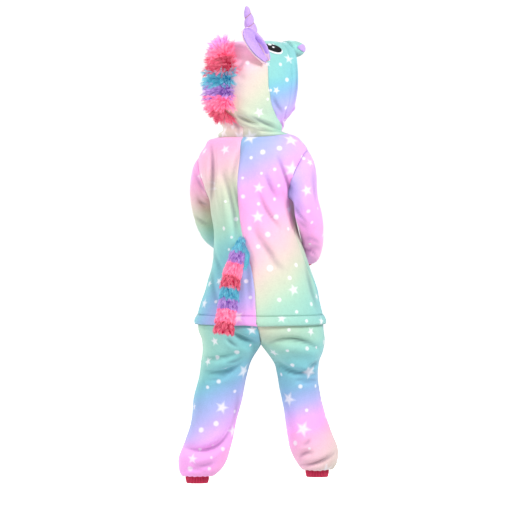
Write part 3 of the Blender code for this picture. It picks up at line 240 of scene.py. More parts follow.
def soft_nap(tree, shader, fine, coarse, depth):
    """Bump of a brushed pile: fine hair tips over slightly matted tufts."""
    tips = maths(tree, "MULTIPLY", speckle(tree, fine), 0.45)
    tufts = maths(tree, "MULTIPLY", speckle(tree, coarse, 3.0), 0.55)
    bump = tree.nodes.new("ShaderNodeBump")
    bump.inputs["Strength"].default_value = 0.65
    bump.inputs["Distance"].default_value = depth
    link(tree, maths(tree, "ADD", tips, tufts), bump.inputs["Height"])
    link(tree, bump.outputs["Normal"], shader.inputs["Normal"])


def new_finish(name, roughness, sheen=0.0):
    made = bpy.data.materials.new(name)
    made.use_nodes = True
    shader = made.node_tree.nodes["Principled BSDF"]
    shader.inputs["Roughness"].default_value = roughness
    shader.inputs["Specular IOR Level"].default_value = 0.2
    shader.inputs["Sheen Weight"].default_value = sheen
    return made, made.node_tree, shader


def rainbow_plush():
    made, tree, shader = new_finish("rainbow plush", 0.95, 0.28)
    drift = centred(tree, speckle(tree, 9.0, 1.0), 0.08)
    share = maths(tree, "FRACT", maths(tree, "ADD", point_value(tree, "rainbow"), drift))
    ramp = tree.nodes.new("ShaderNodeValToRGB")
    ramp.color_ramp.interpolation = "B_SPLINE"
    stops = ramp.color_ramp.elements
    while len(stops) < len(RAINBOW):
        stops.new(0.5)
    for stop, (place, *colour) in zip(stops, RAINBOW):
        stop.position = place
        stop.color = srgb(*colour)
    link(tree, share, ramp.inputs["Fac"])
    parts = tree.nodes.new("ShaderNodeSeparateXYZ")
    link(tree, point_value(tree, "mark", True), parts.inputs[0])
    star, dot = star_and_dot(tree, parts.outputs["X"], parts.outputs["Y"])
    from_star = maths(tree, "SUBTRACT", dot, star)
    either = maths(tree, "MULTIPLY_ADD", from_star, point_value(tree, "dot"), star)
    pile_edge = centred(tree, speckle(tree, 700.0), 0.22)
    cover = maths(tree, "MULTIPLY_ADD", maths(tree, "ADD", either, pile_edge), MARK_EDGE, 0.5)
    cover = maths(tree, "MULTIPLY", kept_within(tree, cover), MARK_COVER)
    cover = maths(tree, "MULTIPLY", cover, parts.outputs["Z"])
    printed = blended(tree, cover, ramp.outputs["Color"], MARK_WHITE)
    mottle = maths(tree, "MULTIPLY_ADD", speckle(tree, 420.0, 3.0), 0.28, 0.83)
    mottle = maths(tree, "MULTIPLY_ADD", speckle(tree, 110.0, 2.0), 0.10, mottle)
    worn = darkened(tree, printed, mottle)
    # Painted shade: the plush is darkened towards a dull violet along its sharp creases.
    painted_shade_amount = maths(tree, "MULTIPLY", point_value(tree, "crease_painted_shade"), PAINTED_CREASE_SHADE)
    link(tree, blended(tree, painted_shade_amount, worn, PAINTED_CREASE_SHADE_TINT, "MULTIPLY"), shader.inputs["Base Color"])
    soft_nap(tree, shader, 1500.0, 260.0, 0.0011)
    return made


RAINBOW_PLUSH = rainbow_plush()

# Where the rainbow stands on each piece: heights in centimetres, each with the print's
# place at the centre seam and at the side seam.  A full cycle, from pink to pink, is 100.
PRINT = {
    "back_left": [(0, 7, 1), (-7, 14, 5), (-12, 22, 13), (-17, 29, 20), (-22, 35, 28), (-27, 50, 40),
        (-32, 66, 40), (-38, 80, 42), (-44, 97, 44), (-47, 100, 48)],
    "back_right": [(0, 60, 86), (-3, 68, 90), (-7, 76, 98), (-12, 86, 102), (-16, 99, 105),
        (-21, 101, 111), (-27, 105, 121), (-31, 110, 129), (-36, 118, 140), (-41, 126, 148),
        (-44, 131, 150), (-47, 133, 148)],
    "leg_back_left": [(-43, 50, 28), (-50, 57, 30), (-55, 60, 36), (-60, 68, 44), (-65, 84, 55),
        (-70, 98, 64), (-75, 100, 76), (-78, 100, 95), (-85, 103, 100)],
    "leg_back_right": [(-43, 13, 42), (-50, 26, 46), (-54, 40, 52), (-58, 50, 58), (-62, 56, 66),
        (-66, 64, 86), (-70, 82, 102), (-74, 97, 112), (-78, 105, 118), (-85, 111, 122)],
    "front_left": [(0, 30, 12), (-15, 50, 36), (-30, 78, 66), (-45, 105, 98), (-60, 130, 132),
        (-70, 175, 196), (-85, 195, 205)],
    "front_right": [(0, 95, 80), (-15, 115, 105), (-30, 142, 130), (-45, 178, 170), (-60, 210, 198),
        (-72, 232, 220), (-85, 250, 230)],
    "sleeve_left": [(-4, 2, 3), (-10, 6, 4), (-16, 14, 14), (-20, 22, 22), (-24, 34, 34),
        (-28, 44, 44)],
    "sleeve_right": [(-4, 72, 86), (-12, 73, 90), (-18, 78, 96), (-22, 92, 100), (-28, 101, 103)],
    "hood_back_left": [(24, 99, 94), (15, 2, 10), (6, 10, 25), (0, 16, 34)],
    "hood_back_right": [(24, 1, 10), (19, 3, 15), (15, 5, 22), (10, 7, 27), (6, 12, 32), (3, 18, 37),
        (0, 20, 39)],
    "hood_front_left": [(25, 42, 48), (15, 50, 64), (6, 78, 92), (0, 96, 105)],
    "hood_front_right": [(25, 42, 47), (19, 45, 51), (15, 48, 58), (12, 56, 74), (9, 68, 84),
        (6, 79, 90), (3, 91, 99), (0, 96, 102)],
}
PRINT["band_left"], PRINT["band_right"] = PRINT["back_left"], PRINT["back_right"]

# White stars and dots that show behind: their place across and up and their size, in
# millimetres.
STARS_BEHIND = (
    (16, -3, 28), (-85, -8, 30), (-86, -81, 32), (-3, -127, 22), (-2, -196, 25), (-125, -134, 22),
    (78, -30, 20), (-80, -177, 18), (-91, -381, 22), (-60, -450, 18), (-134, -482, 18), (11, -478, 20),
    (45, -448, 20), (131, -413, 20), (117, -362, 15), (139, -96, 15), (131, -33, 18), (-148, -399, 15),
    (-161, -456, 18), (-134, -64, 15), (94, -356, 15), (32, -583, 30), (86, -671, 25), (60, -731, 25),
    (161, -797, 20), (-79, -653, 28), (-115, -727, 30), (-130, -585, 28), (-40, -537, 20),
    (123, -559, 18), (106, -505, 18), (157, -674, 15), (-167, -511, 15), (-79, 194, 20), (-4, 60, 20),
    (-48, 113, 15), (-25, 181, 12),
)
DOTS_BEHIND = (
    (-15, -38, 15), (-55, -28, 15), (14, -52, 10), (-11, -90, 8), (-43, -81, 10), (36, -103, 8),
    (34, -149, 12), (-5, -164, 10), (-43, -157, 10), (-53, -122, 10), (-47, -197, 15), (19, -226, 12),
    (-28, -241, 15), (-77, -226, 10), (-3, -275, 12), (-32, -326, 18), (-98, -319, 12), (-82, -351, 12),
    (-54, -403, 12), (-135, -412, 12), (-99, -430, 10), (-124, -455, 10), (26, -356, 12),
    (17, -398, 10), (-115, -52, 10), (-127, -185, 12), (-150, -177, 8), (-136, -213, 10),
    (-132, -268, 8), (82, -224, 12), (64, -250, 8), (70, -276, 8), (51, -205, 12), (80, -159, 8),
    (103, -410, 10), (49, -532, 15), (99, -544, 12), (79, -574, 8), (97, -608, 12), (122, -623, 10),
    (54, -633, 10), (55, -684, 10), (103, -713, 15), (140, -727, 15), (111, -765, 8), (143, -775, 10),
    (83, -774, 12), (165, -824, 15), (119, -824, 10), (112, -797, 8), (18, -515, 8), (-122, -523, 12),
    (-75, -530, 10), (-146, -525, 8), (-87, -566, 12), (-61, -591, 10), (-109, -621, 12),
    (-146, -620, 10), (-122, -681, 10), (-96, -760, 15), (-129, -773, 8), (-78, -476, 10),
    (-57, 180, 10), (-74, 141, 12), (24, 182, 12), (-35, 116, 8), (-26, 91, 8), (-73, 72, 10),
    (-68, 44, 8),
)


def rainbow_share(piece, heights, across):
    """The rainbow's share at points of a piece; across is 0 at the centre seam, 1 at the side."""
    places, centre, side = np.array(sorted(PRINT[piece])).T / 100
    centre, side = np.interp(heights, places, centre), np.interp(heights, places, side)
    return centre + (side - centre) * across


def unit(vectors):
    vectors = np.asarray(vectors, float)
    lengths = np.linalg.norm(vectors, axis=-1, keepdims=True)
    return vectors / np.maximum(lengths, 1e-12)


def soft_step(x):
    x = np.clip(x, 0.0, 1.0)
    return x * x * (3 - 2 * x)


FACING_BEHIND = 0.12              # a normal's share of +Y where the cloth shows behind
NEAR_ENOUGH = 0.006               # from a placed mark to the piece that it lies on
SCATTERED = 260                   # tries at scattering a mark on a piece
APART = 0.030
STAR_SIZES, DOT_SIZES = (0.009, 0.0145), (0.0045, 0.0075)


def printed_marks(piece, points, normals):
    """The stars and dots of one piece: the placed ones behind, and scattered ones on
    the sides that face away."""
    chance = np.random.default_rng(sum(map(ord, piece)))
    marks = []
    behind = normals[:, 1] > FACING_BEHIND
    for placed, dot in ((STARS_BEHIND, 0.0), (DOTS_BEHIND, 1.0)):
        for x, z, across in np.array(placed) / 1000:
            gaps = np.hypot(points[:, 0] - x, points[:, 2] - z) + np.where(behind, 0, 1)
            nearest = int(gaps.argmin())
            if gaps[nearest] < NEAR_ENOUGH:
                marks.append((nearest, across / 2, chance.uniform(-0.5, 0.5), dot))
    for tried in chance.integers(0, len(points), SCATTERED):
        if behind[tried] and not piece.startswith("hood_back_left"):
            continue
        if all(np.linalg.norm(points[tried] - points[m[0]]) > APART for m in marks):
            dot = float(chance.random() < 0.6)
            size = chance.uniform(*(DOT_SIZES if dot else STAR_SIZES))
            marks.append((int(tried), size, chance.uniform(-0.6, 0.6), dot))
    return marks


MARK_GROWTH = {0.0: 1.20, 1.0: 1.40}     # how far the ink of stars and dots spreads in the pile
MARK_REACH = 1.7                         # a mark's own room, in radii


def keep_on(mesh, name, numbers, kind="FLOAT", domain="POINT"):
    """Keep numbers on the points or the faces' corners of a mesh, for its finish to read."""
    layer = mesh.attributes.new(name, kind, domain)
    slot = "vector" if kind == "FLOAT_VECTOR" else "value"
    layer.data.foreach_set(slot, np.asarray(numbers).astype(np.float32).ravel())


def lay_print(mesh, piece, points, normals, across):
    """Keep the rainbow on the points of a piece, and on its faces' corners their place
    in the nearest printed mark."""
    keep_on(mesh, "rainbow", rainbow_share(piece, points[:, 2], across))
    corners = np.zeros(len(mesh.loops), np.int32)
    mesh.loops.foreach_get("vertex_index", corners)
    sides = np.zeros(len(mesh.polygons), np.int32)
    mesh.polygons.foreach_get("loop_total", sides)
    starts = np.concatenate([[0], np.cumsum(sides)[:-1]])
    middles = np.add.reduceat(points[corners], starts) / sides[:, None]
    facings = np.add.reduceat(normals[corners], starts)
    best = np.full(len(sides), MARK_REACH)
    nearest = np.full(len(sides), -1)
    marks = printed_marks(piece, points, normals)
    for number, (centre, size, _, dot) in enumerate(marks):
        far = np.linalg.norm(middles - points[centre], axis=1) / (size * MARK_GROWTH[dot])
        far = far + 4 * (facings @ normals[centre] < 0)
        nearest[far < best] = number
        best = np.minimum(best, far)
    own = np.repeat(nearest, sides)
    local = np.zeros((len(corners), 3))
    dots = np.zeros(len(corners))
    for number, (centre, size, turn, dot) in enumerate(marks):
        here = own == number
        up = unit(np.array([0, 0, 1.0]) - normals[centre] * normals[centre][2])
        aside = np.cross(normals[centre], up)
        offset = (points[corners[here]] - points[centre]) / (size * MARK_GROWTH[dot])
        a, b = offset @ aside, offset @ up
        local[here, 0] = a * math.cos(turn) - b * math.sin(turn)
        local[here, 1] = a * math.sin(turn) + b * math.cos(turn)
        local[here, 2] = 1.0
        dots[here] = dot
    keep_on(mesh, "mark", local, "FLOAT_VECTOR", "CORNER")
    keep_on(mesh, "dot", dots, "FLOAT", "CORNER")


# ------------------------------ body, seat, legs and fronts
# The trunk hangs loose from the shoulders: two upper backs that end in the turned-up
# drop-seat band, two seat-and-leg pieces, and two full-length fronts.  All are plush
# cut with the nap down and joined at the centre, the sides and the inside legs.
def millimetres(columns, *rows):
    """A table of sizes given in millimetres, as {column: array} in metres."""
    as_is = ("section", "fold", "face", "turn")
    read = {name: np.array(values) for name, values in zip(columns.split(), zip(*rows))}
    return {name: v if name in as_is else v / 1000 for name, v in read.items()}


# Level sections of the body above the drop-seat hem, from the neck seam down.
TORSO = millimetres(
    "section half_width back front centre_x centre_y turn side_z back_z front_z right_up",
    ("neck_seam",         92,    69,    62,   7, -2,    1,    2,    0,  -18,  8),
    ("neck_base",        115,    77,    70,   9, -2,    1,   -5,  -12,  -34,  9),
    ("shoulder",         126,    85,    77,   8, -1,    1,  -18,  -32,  -53, 12),
    ("shoulder_point", 143.5,    92,    82,   7,  0,    1,  -42,  -57,  -73,  9),
    ("armhole_top",      140,    96,    86,   8,  0,    1,  -82,  -86,  -96,  4),
    ("armhole_low",      124,    97,    89,  10,  0,    1, -121, -119, -122,  1),
    ("underarm",         105,    96,    91,  12,  0,    1, -156, -154, -154,  0),
    ("chest",            104,    95,    94,   9,  0,    1, -193, -191, -191,  0),
    ("waist",            104,    95,    98,   2,  0, 0.96, -236, -234, -234,  0),
    ("belly",            112,    99,   103,  -4,  0,  0.8, -281, -279, -279,  0),
    ("upper_hip",        122,   106,   109,  -9,  0, 0.55, -326, -325, -325,  0),
    ("hip",              137,   115,   113, -11,  0, 0.38, -372, -372, -372,  0),
    ("low_hip",        146.5,   120,   114, -10,  0, 0.28, -408, -409, -408,  0),
    ("seat_top",       151.5, 120.5, 113.5,  -9,  0, 0.21, -442, -444, -442,  0),
    ("hem",              157,   121,   114,  -9,  0, 0.15, -466, -468, -466,  0),
)

# Sections between the drop-seat hem and the crotch, where the seat seam curves under.
# seam_: the centre seam; mid_: the fullest point of each cheek; outer_: the side seams.
SEAT = millimetres(
    "section seam_x back_seam_y front_seam_y seam_z mid_x back front mid_z left_x right_x outer_z",
    ("seat",    -6, 108, -104, -489, 30, 117, 111, -486, 147, -168, -484),
    ("fork",    -9,  66,  -64, -508, 56, 106, 102, -507, 139, -170, -505),
    ("crotch", -10,   4,    4, -514, 78,  94,  90, -532, 136, -165, -533),
)

LEFT_LEG = millimetres(
    "section centre_x half_width centre_y back front height",
    ("thigh",       77.5, 62.5,  1, 80, 76,   -562),
    ("low_thigh",   84.5,   60, -3, 69, 68,   -592),
    ("knee",          91,   60, -8, 64, 63,   -622),
    ("below_knee",    98, 60.5, -9, 61, 60,   -655),
    ("calf",       104.5, 58.5, -6, 59, 57,   -690),
    ("low_calf",     111,   57, -2, 58, 55,   -723),
    ("overhang",     119,   59,  2, 60, 56,   -752),
    ("tuck",         127,   61,  4, 60, 57,   -779),
    ("blouse",     135.5,   61,  6, 60, 57,   -804),
    ("gather",       142,   54,  8, 54, 51,   -828),
    ("turn_under",   147,   43,  9, 43, 41, -842.5),
    ("rolled_in",    149,   34,  9, 34, 33, -844.5),
    ("cuff_seam",    150, 28.5,  9, 29, 28,   -838),
)

RIGHT_LEG = millimetres(
    "section centre_x half_width centre_y back front height",
    ("thigh",       -98.5,   57,  -1, 78, 76,   -561),
    ("low_thigh",    -101, 51.5,  -5, 67, 67,   -590),
    ("knee",       -104.5, 49.5, -10, 61, 61,   -620),
    ("below_knee",   -111,   49, -11, 57, 57,   -652),
    ("calf",       -118.5, 50.5,  -9, 56, 55,   -685),
    ("low_calf",   -125.5, 53.5,  -6, 57, 55,   -716),
    ("overhang",   -132.5, 57.5,  -3, 59, 56,   -744),
    ("tuck",         -140, 60.5,  -1, 60, 57,   -770),
    ("blouse",     -146.5, 57.5,   0, 58, 55,   -795),
    ("gather",       -150,   50,   1, 51, 49,   -815),
    ("turn_under", -150.5,   41,   2, 42, 40, -827.5),
    ("rolled_in",  -150.5, 33.5,   2, 34, 33, -829.5),
    ("cuff_seam",  -150.5,   28,   2, 29, 28,   -823),
)

# Rings of the sleeves below the armhole: middles, and half sizes across the arm and
# from its back to its front.
LEFT_SLEEVE = millimetres(
    "section x y z across deep",
    ("upper",       130,  -68, -180, 27.5, 46),
    ("upper_arm", 122.5,  -80, -206,   28, 42),
    ("elbow",       112,  -96, -229,   29, 39),
    ("forearm",      99, -117, -244,   30, 36),
    ("low_arm",    85.5, -138, -254,   31, 34),
    ("gather",     74.5, -156, -261,   29, 31),
    ("cuff_seam",    69, -165, -265,   21, 23),
)

RIGHT_SLEEVE = millimetres(
    "section x y z across deep",
    ("upper",       -125,   44, -180, 28.5, 47),
    ("upper_arm",   -133,   20, -208,   29, 43),
    ("elbow",     -138.5,  -13, -237,   28, 41),
    ("forearm",     -140,  -48, -262, 26.5, 39),
    ("low_arm",     -135,  -78, -279,   29, 36),
    ("gather",      -132, -102, -288,   28, 32),
    ("cuff_seam",   -130, -114, -292,   21, 24),
)

# The largest folds, as soft ridges (height above 0) and troughs (below 0) drawn on
# the back (face 1) or the front (face -1): ends, sideways bow, half width and height.
FOLDS = millimetres(
    "fold face x0 z0 x1 z1 bow width height",
    ("shoulder_blade",     1,  -52,  -56, -106, -222,  -2, 13,   -6),
    ("blade_ridge",        1,  -82,  -70, -112, -200,  10, 14,    5),
    ("mid_back",           1,  -20,  -95,  -62, -170,   6, 13, -3.5),
    ("small_of_back",      1,   -2, -140,  -78, -262,   6, 14, -4.5),
    ("low_back",           1,    6, -215,  -62, -330,   8, 18, -3.5),
    ("left_blade",         1,  113,  -40,  104, -175,   6, 11, -4.5),
    ("left_edge",          1,  126,  -80,   96, -262,   4, 10,    5),
    ("left_spine",         1,   83,  -90,   46, -262,  -8, 14,   -6),
    ("left_spine_ridge",   1,  100, -110,   70, -280,  -6, 13,    4),
    ("tail_pull",          1,   60, -255,  100, -400, -10, 18,   -4),
    ("left_flank",         1,  104, -270,  122, -420,  -6, 14,  4.5),
    ("left_seat_pull",     1,   64, -480,   -2, -514,   4, 11, -6.5),
    ("left_seat_ridge",    1,   78, -505,   20, -532,   3, 11,    4),
    ("left_thigh_back",    1,  132, -548,   52, -538,   6, 10, -4.5),
    ("left_knee_back",     1,  130, -580,   30, -556,  14, 12,   -6),
    ("left_knee_ridge",    1,  128, -562,   34, -536,  12, 13,  4.5),
    ("left_puff_top",      1,  178, -794,   72, -746,  28, 12,    6),
    ("left_tuck",          1,  178, -770,   66, -722,  28,  9, -8.5),
    ("right_seat_arch",    1,  -30, -510, -156, -526, -16, 10,   -6),
    ("right_seat_ridge",   1,  -36, -530, -152, -544, -12, 13,  4.5),
    ("right_thigh_back",   1,  -50, -560, -150, -586,  12, 10, -6.5),
    ("right_knee_back",    1,  -84, -600, -152, -604,   4,  9,   -5),
    ("right_tuck",         1, -110, -817, -192, -786,   8,  8, -5.5),
    ("right_blouse_dent",  1, -104, -799, -140, -784,  -5,  9,   -4),
    ("left_chest",        -1,  100,  -75,   40, -210, -10, 14, -4.5),
    ("right_chest",       -1,  -92,  -75,  -30, -200,  10, 14, -4.5),
    ("left_belly",        -1,   96, -255,   55, -390,  12, 16, -4.5),
    ("right_belly",       -1, -104, -250,  -66, -400, -10, 16, -4.5),
    ("left_groin",        -1,  130, -452,   22, -520,   6, 12,   -6),
    ("right_groin",       -1, -145, -455,  -38, -520,  -6, 12,   -6),
    ("left_knee",         -1,  140, -585,   40, -600, -16, 11, -5.5),
    ("right_knee",        -1, -152, -578,  -60, -602, -16, 11, -5.5),
    ("left_shin",         -1,  166, -752,   72, -768, -18, 11,   -6),
    ("right_shin",        -1, -186, -768,  -94, -776, -16, 11, -5.5),
)

# Sharper creases over the broad folds, where the cloth pulls at the arms, the tail, the
# band and the knees.
CREASES = millimetres(
    "fold face x0 z0 x1 z1 bow width height",
    ("blade_pull",        1,  -52,  -50, -104, -206,  -2,   6, -5.5),
    ("blade_pull_low",    1,  -90, -160, -112, -250,   2,   6, -4.2),
    ("blade_outer",       1,  -84, -112, -106, -188,   4, 5.5, -3.6),
    ("spine_pull",        1,  -22,  -92,  -50, -152,   4, 6.5, -3.6),
    ("waist_pull",        1,   -6, -138,  -60, -224,   8,   6, -4.2),
    ("waist_pull_low",    1,    6, -226,  -44, -294,   6,   8, -3.2),
    ("hip_soft",          1,  -20, -268,  -70, -330,   6,  10, -2.9),
    ("right_flank_line",  1, -120, -300, -150, -428,   4,   7, -4.2),
    ("right_side_pull",   1, -108, -205, -128, -320,   2,   7, -3.2),
    ("left_neck_pull",    1,   34,  -20,   62, -110,  -4,   8, -2.6),
    ("left_shoulder",     1,  114,  -20,  116, -160,   5, 5.5, -5.5),
    ("left_arm_edge",     1,  126,  -60,  112, -250,   3,   5,  4.9),
    ("left_spine_pull",   1,   86,  -88,   52, -256,  -8,   6, -5.5),
    ("left_spine_short",  1,   62, -110,   48, -190,  -3,   5, -3.6),
    ("left_light_edge",   1,   98,  -85,   90, -210,   3,   6,  3.6),
    ("tail_pull_short",   1,  112, -246,   88, -336,   6,   6, -3.8),
    ("tail_pull_long",    1,  112, -300,   94, -420,   8,   7, -3.2),
    ("left_low_edge",     1,  126, -310,  136, -430,  -4,   7,  3.6),
    ("right_of_tail",     1,   20, -300,   12, -430,   4,   8, -2.9),
    ("seat_pull",         1,   64, -482,    4, -508,   3, 5.5, -6.2),
    ("seat_pull_low",     1,   76, -498,   48, -518,   2,   5,   -5),
    ("left_thigh_fold",   1,  130, -548,   52, -536,   5,   5, -4.7),
    ("left_knee_fold",    1,  130, -580,   40, -562,  14, 5.5, -5.8),
    ("left_knee_low",     1,  122, -600,   60, -578,   8,   6, -3.6),
    ("left_thigh_short",  1,   75, -559,   38, -546,   4,   5, -4.3),
    ("left_inseam_pull",  1,   48, -640,   66, -730,   4,   8, -2.9),
    ("left_calf_fold",    1,  178, -772,   66, -724,  28,   5, -6.1),
    ("left_puff_dent",    1,  160, -812,  108, -806,   8,   6, -3.6),
    ("left_puff_low",     1,  176, -826,  128, -832,  -4,   5, -3.2),
    ("right_seat_fold",   1,  -30, -510, -156, -526, -16,   5, -5.8),
    ("right_thigh_fold",  1,  -50, -560, -150, -588,  12, 6.5, -6.1),
    ("right_knee_fold",   1,  -94, -601, -152, -603,   4,   5, -4.7),
    ("right_knee_short",  1, -110, -588, -150, -560,   4,   5, -4.3),
    ("right_thigh_low",   1, -128, -569, -153, -559,   2,   5, -4.3),
    ("right_puff_fold",   1, -110, -817, -193, -786,   8, 4.5, -6.1),
    ("right_puff_dent",   1, -105, -799, -138, -785,  -5, 5.5, -4.7),
    ("right_puff_short",  1, -112, -764, -132, -750,   4,   6, -3.6),
    ("left_chest_pull",  -1,   90,  -80,   30, -170,  -8,   7, -4.2),
    ("right_chest_pull", -1,  -86,  -70,  -34, -180,   6,   6, -4.9),
    ("left_waist_pull",  -1,   80, -200,   34, -290,   6,   7, -3.8),
    ("right_waist_pull", -1,  -90, -215,  -50, -330,  -6,   6, -4.2),
    ("left_lap",         -1,  128, -455,   24, -516,   6,   6, -6.1),
    ("left_lap_low",     -1,  116, -490,   46, -536,   4,   6, -4.3),
    ("right_lap",        -1, -142, -462,  -40, -514,  -4, 5.5, -6.1),
    ("right_lap_low",    -1, -150, -500,  -70, -534,  -6,   6,   -4),
    ("left_knee_front",  -1,  138, -590,   44, -604, -14, 5.5, -5.4),
    ("left_knee_upper",  -1,  120, -558,   50, -572,  -6,   6, -3.6),
    ("right_knee_front", -1, -150, -584,  -64, -606, -12, 5.5, -5.4),
    ("left_shin_front",  -1,  164, -756,   76, -770, -14, 5.5, -5.4),
    ("left_shin_low",    -1,  170, -806,  110, -800,   6, 5.5, -4.3),
    ("right_shin_front", -1, -184, -772,  -98, -778, -12, 5.5,   -5),
)

FINE = 6     # quads for each quad of the solids
CLOTH = 0.0024
BAND_CLOTH = 0.0036
BODY_TURN = 24.0                  # degrees the shoulders turn to the wearer's right
COLUMNS = 9 * FINE                # quads from a centre seam to a side seam
SEAM_DIP = 0.0011                 # how far the stitches pull a seam in
SEAM_REACH = 0.0035


def smooth_curve(share, start, leave, end, arrive):
    """A point of the smooth curve between two ends with the given slopes."""
    s2, s3 = share**2, share**3
    return (
        (2 * s3 - 3 * s2 + 1) * start
        + (s3 - 2 * s2 + share) * leave
        + (3 * s2 - 2 * s3) * end
        + (s3 - s2) * arrive
    )


def along(values, t):
    """values at position t, counted in rows, on a smooth curve through them all."""
    values = np.asarray(values, float)
    t = np.clip(t, 0, len(values) - 1)
    i = min(int(t), len(values) - 2)
    share = t - i
    before, after = max(i - 1, 0), min(i + 2, len(values) - 1)
    slope0 = (values[i + 1] - values[before]) / (i + 1 - before)
    slope1 = (values[after] - values[i]) / (after - i)
    return smooth_curve(share, values[i], slope0, values[i + 1], slope1)


def turned(points, degrees):
    """Points turned about Z, towards the wearer's right for a positive angle."""
    c, s = math.cos(math.radians(degrees)), math.sin(math.radians(degrees))
    x, y, z = np.moveaxis(np.asarray(points, float), -1, 0)
    return np.stack([x * c + y * s, y * c - x * s, z], axis=-1)


def run(points, axis=0):
    """How far each point lies along its line of a grid, down the rows (0) or across (1)."""
    steps = np.linalg.norm(np.diff(points, axis=axis), axis=-1)
    return np.concatenate([np.zeros_like(steps.take([0], axis)), np.cumsum(steps, axis=axis)], axis=axis)


def read_at(wanted, stations, points):
    """Points between those that stand at the given stations."""
    return np.stack([np.interp(wanted, stations, points[:, k]) for k in range(3)], axis=1)


def at_shares(points, shares):
    """Points at the given shares of a polyline's length."""
    stations = run(points)
    return read_at(np.asarray(shares) * stations[-1], stations, points)


BODY_SQUARE = 0.88
QUARTER = np.linspace(0, math.pi / 2, 90)
ARMHOLE = (3, 6)
ARMHOLE_CUT = 0.24
BODY_SECTIONS = len(TORSO["section"]) + len(SEAT["section"]) + len(LEFT_LEG["section"])


def torso_control(i, side, face):
    """Five control points of one quarter section: seam, seam centre, middle, centre, side."""
    depth = TORSO["back"][i] if face > 0 else -TORSO["front"][i]
    seam_z = TORSO["back_z"][i] if face > 0 else TORSO["front_z"][i]
    side_z = TORSO["side_z"][i] + (TORSO["right_up"][i] if side < 0 else 0)
    seam, centre, outer = turned(
        [(0, depth, seam_z), (0, 0, side_z), (side * TORSO["half_width"][i], 0, side_z)],
        TORSO["turn"][i] * BODY_TURN,
    ) + np.array([TORSO["centre_x"][i], TORSO["centre_y"][i], 0])
    return [seam, seam, seam, centre, outer]


def seat_control(i, side, face):
    seam_y = SEAT["back_seam_y" if face > 0 else "front_seam_y"][i]
    depth = SEAT["back"][i] if face > 0 else -SEAT["front"][i]
    middle_x = SEAT["seam_x"][i] + side * SEAT["mid_x"][i]
    outer_x = SEAT["left_x" if side > 0 else "right_x"][i]
    middle_z, outer_z, seam_z = SEAT["mid_z"][i], SEAT["outer_z"][i], SEAT["seam_z"][i]
    return [
        (SEAT["seam_x"][i], seam_y, seam_z),
        (middle_x, seam_y, seam_z),
        (middle_x, depth, middle_z),
        (middle_x, 0, outer_z),
        (outer_x, 0, outer_z),
    ]


def leg_control(i, side, face):
    leg = LEFT_LEG if side > 0 else RIGHT_LEG
    x, y, z = leg["centre_x"][i], leg["centre_y"][i], leg["height"][i]
    depth = leg["back"][i] if face > 0 else -leg["front"][i]
    reach = side * leg["half_width"][i]
    return [(x - reach, y, z), (x, y, z), (x, y + depth, z), (x, y, z), (x + reach, y, z)]


def quarter_row(control, kept):
    """One row of a quarter of the body, from its centre seam or inseam to its side."""
    seam, seam_centre, middle, centre, outer = control
    c, s = np.cos(QUARTER)[:, None], np.sin(QUARTER)[:, None]
    inner_arc = seam_centre + (seam - seam_centre) * c**BODY_SQUARE
    inner_arc = inner_arc + (middle - seam_centre) * s**BODY_SQUARE
    outer_arc = centre + (middle - centre) * c**BODY_SQUARE + (outer - centre) * s**BODY_SQUARE
    share = np.linspace(0, 1, COLUMNS + 1)
    return at_shares(np.vstack([inner_arc, outer_arc[1:]]), share - (1 - kept) * share**3)


def armhole_kept(t):
    first, last = ARMHOLE
    if not first < t < last:
        return 1.0
    return 1 - ARMHOLE_CUT * math.sqrt(math.sin(math.pi * (t - first) / (last - first)))


def body_rows():
    """Positions of the rows, counted in sections, closer together beside the armhole."""
    found = []
    for i in range(BODY_SECTIONS - 1):
        parts = FINE * (3 if ARMHOLE[0] <= i < ARMHOLE[1] else 1)
        found += [i + k / parts for k in range(parts)]
    return found + [BODY_SECTIONS - 1]


def body_quarter(side, face, positions):
    controls = [torso_control(i, side, face) for i in range(len(TORSO["section"]))]
    controls += [seat_control(i, side, face) for i in range(len(SEAT["section"]))]
    controls += [leg_control(i, side, face) for i in range(len(LEFT_LEG["section"]))]
    controls = np.array(controls, float)
    return np.array([quarter_row(along(controls, t), armhole_kept(t)) for t in positions])


def face_normals(grid, wrap=False):
    """Area-weighted normals of a grid's points, by the quads round each."""
    sheet = np.concatenate([grid, grid[:, :1]], axis=1) if wrap else grid
    a, b, c, d = sheet[:-1, :-1], sheet[:-1, 1:], sheet[1:, 1:], sheet[1:, :-1]
    faces = np.cross(c - a, d - b)
    total = np.zeros_like(sheet)
    first, last = slice(0, -1), slice(1, None)
    for rows, cols in ((first, first), (first, last), (last, last), (last, first)):
        total[rows, cols] += faces
    if wrap:
        total[:, 0] += total[:, -1]
        total = total[:, :-1]
    return total


def shared_normals(sheets):
    """Outward unit normals for {name: (grid, sign, wrap)}, averaged where sheets meet."""
    raw = {name: sign * face_normals(grid, wrap) for name, (grid, sign, wrap) in sheets.items()}
    places = np.vstack([grid.reshape(-1, 3) for grid, _, _ in sheets.values()])
    values = np.vstack([raw[name].reshape(-1, 3) for name in sheets])
    keys = np.floor((places + 3.7e-7) / 2e-6).astype(np.int64)
    _, index = np.unique(keys, axis=0, return_inverse=True)
    index = index.reshape(-1)
    sums = np.zeros((index.max() + 1, 3))
    np.add.at(sums, index, values)
    normals, at = {}, 0
    for name, (grid, _, _) in sheets.items():
        size = grid.shape[0] * grid.shape[1]
        normals[name] = unit(sums[index[at : at + size]]).reshape(grid.shape)
        at += size
    return normals


FOLD_STEPS = 22
FOLD_REACH = 3.4                  # how far a fold is felt, in half widths
FOLD_LIP = 0.26                   # how far the cloth beside it is pushed the other way


def bell(x):
    """1 where x is 0, falling off smoothly on both sides."""
    return np.exp(-(x**2))


def bent(start, middle, end, t):
    """Points at shares t of a bent line, which its middle point draws to one side."""
    return start * (1 - t) ** 2 + middle * 2 * t * (1 - t) + end * t**2


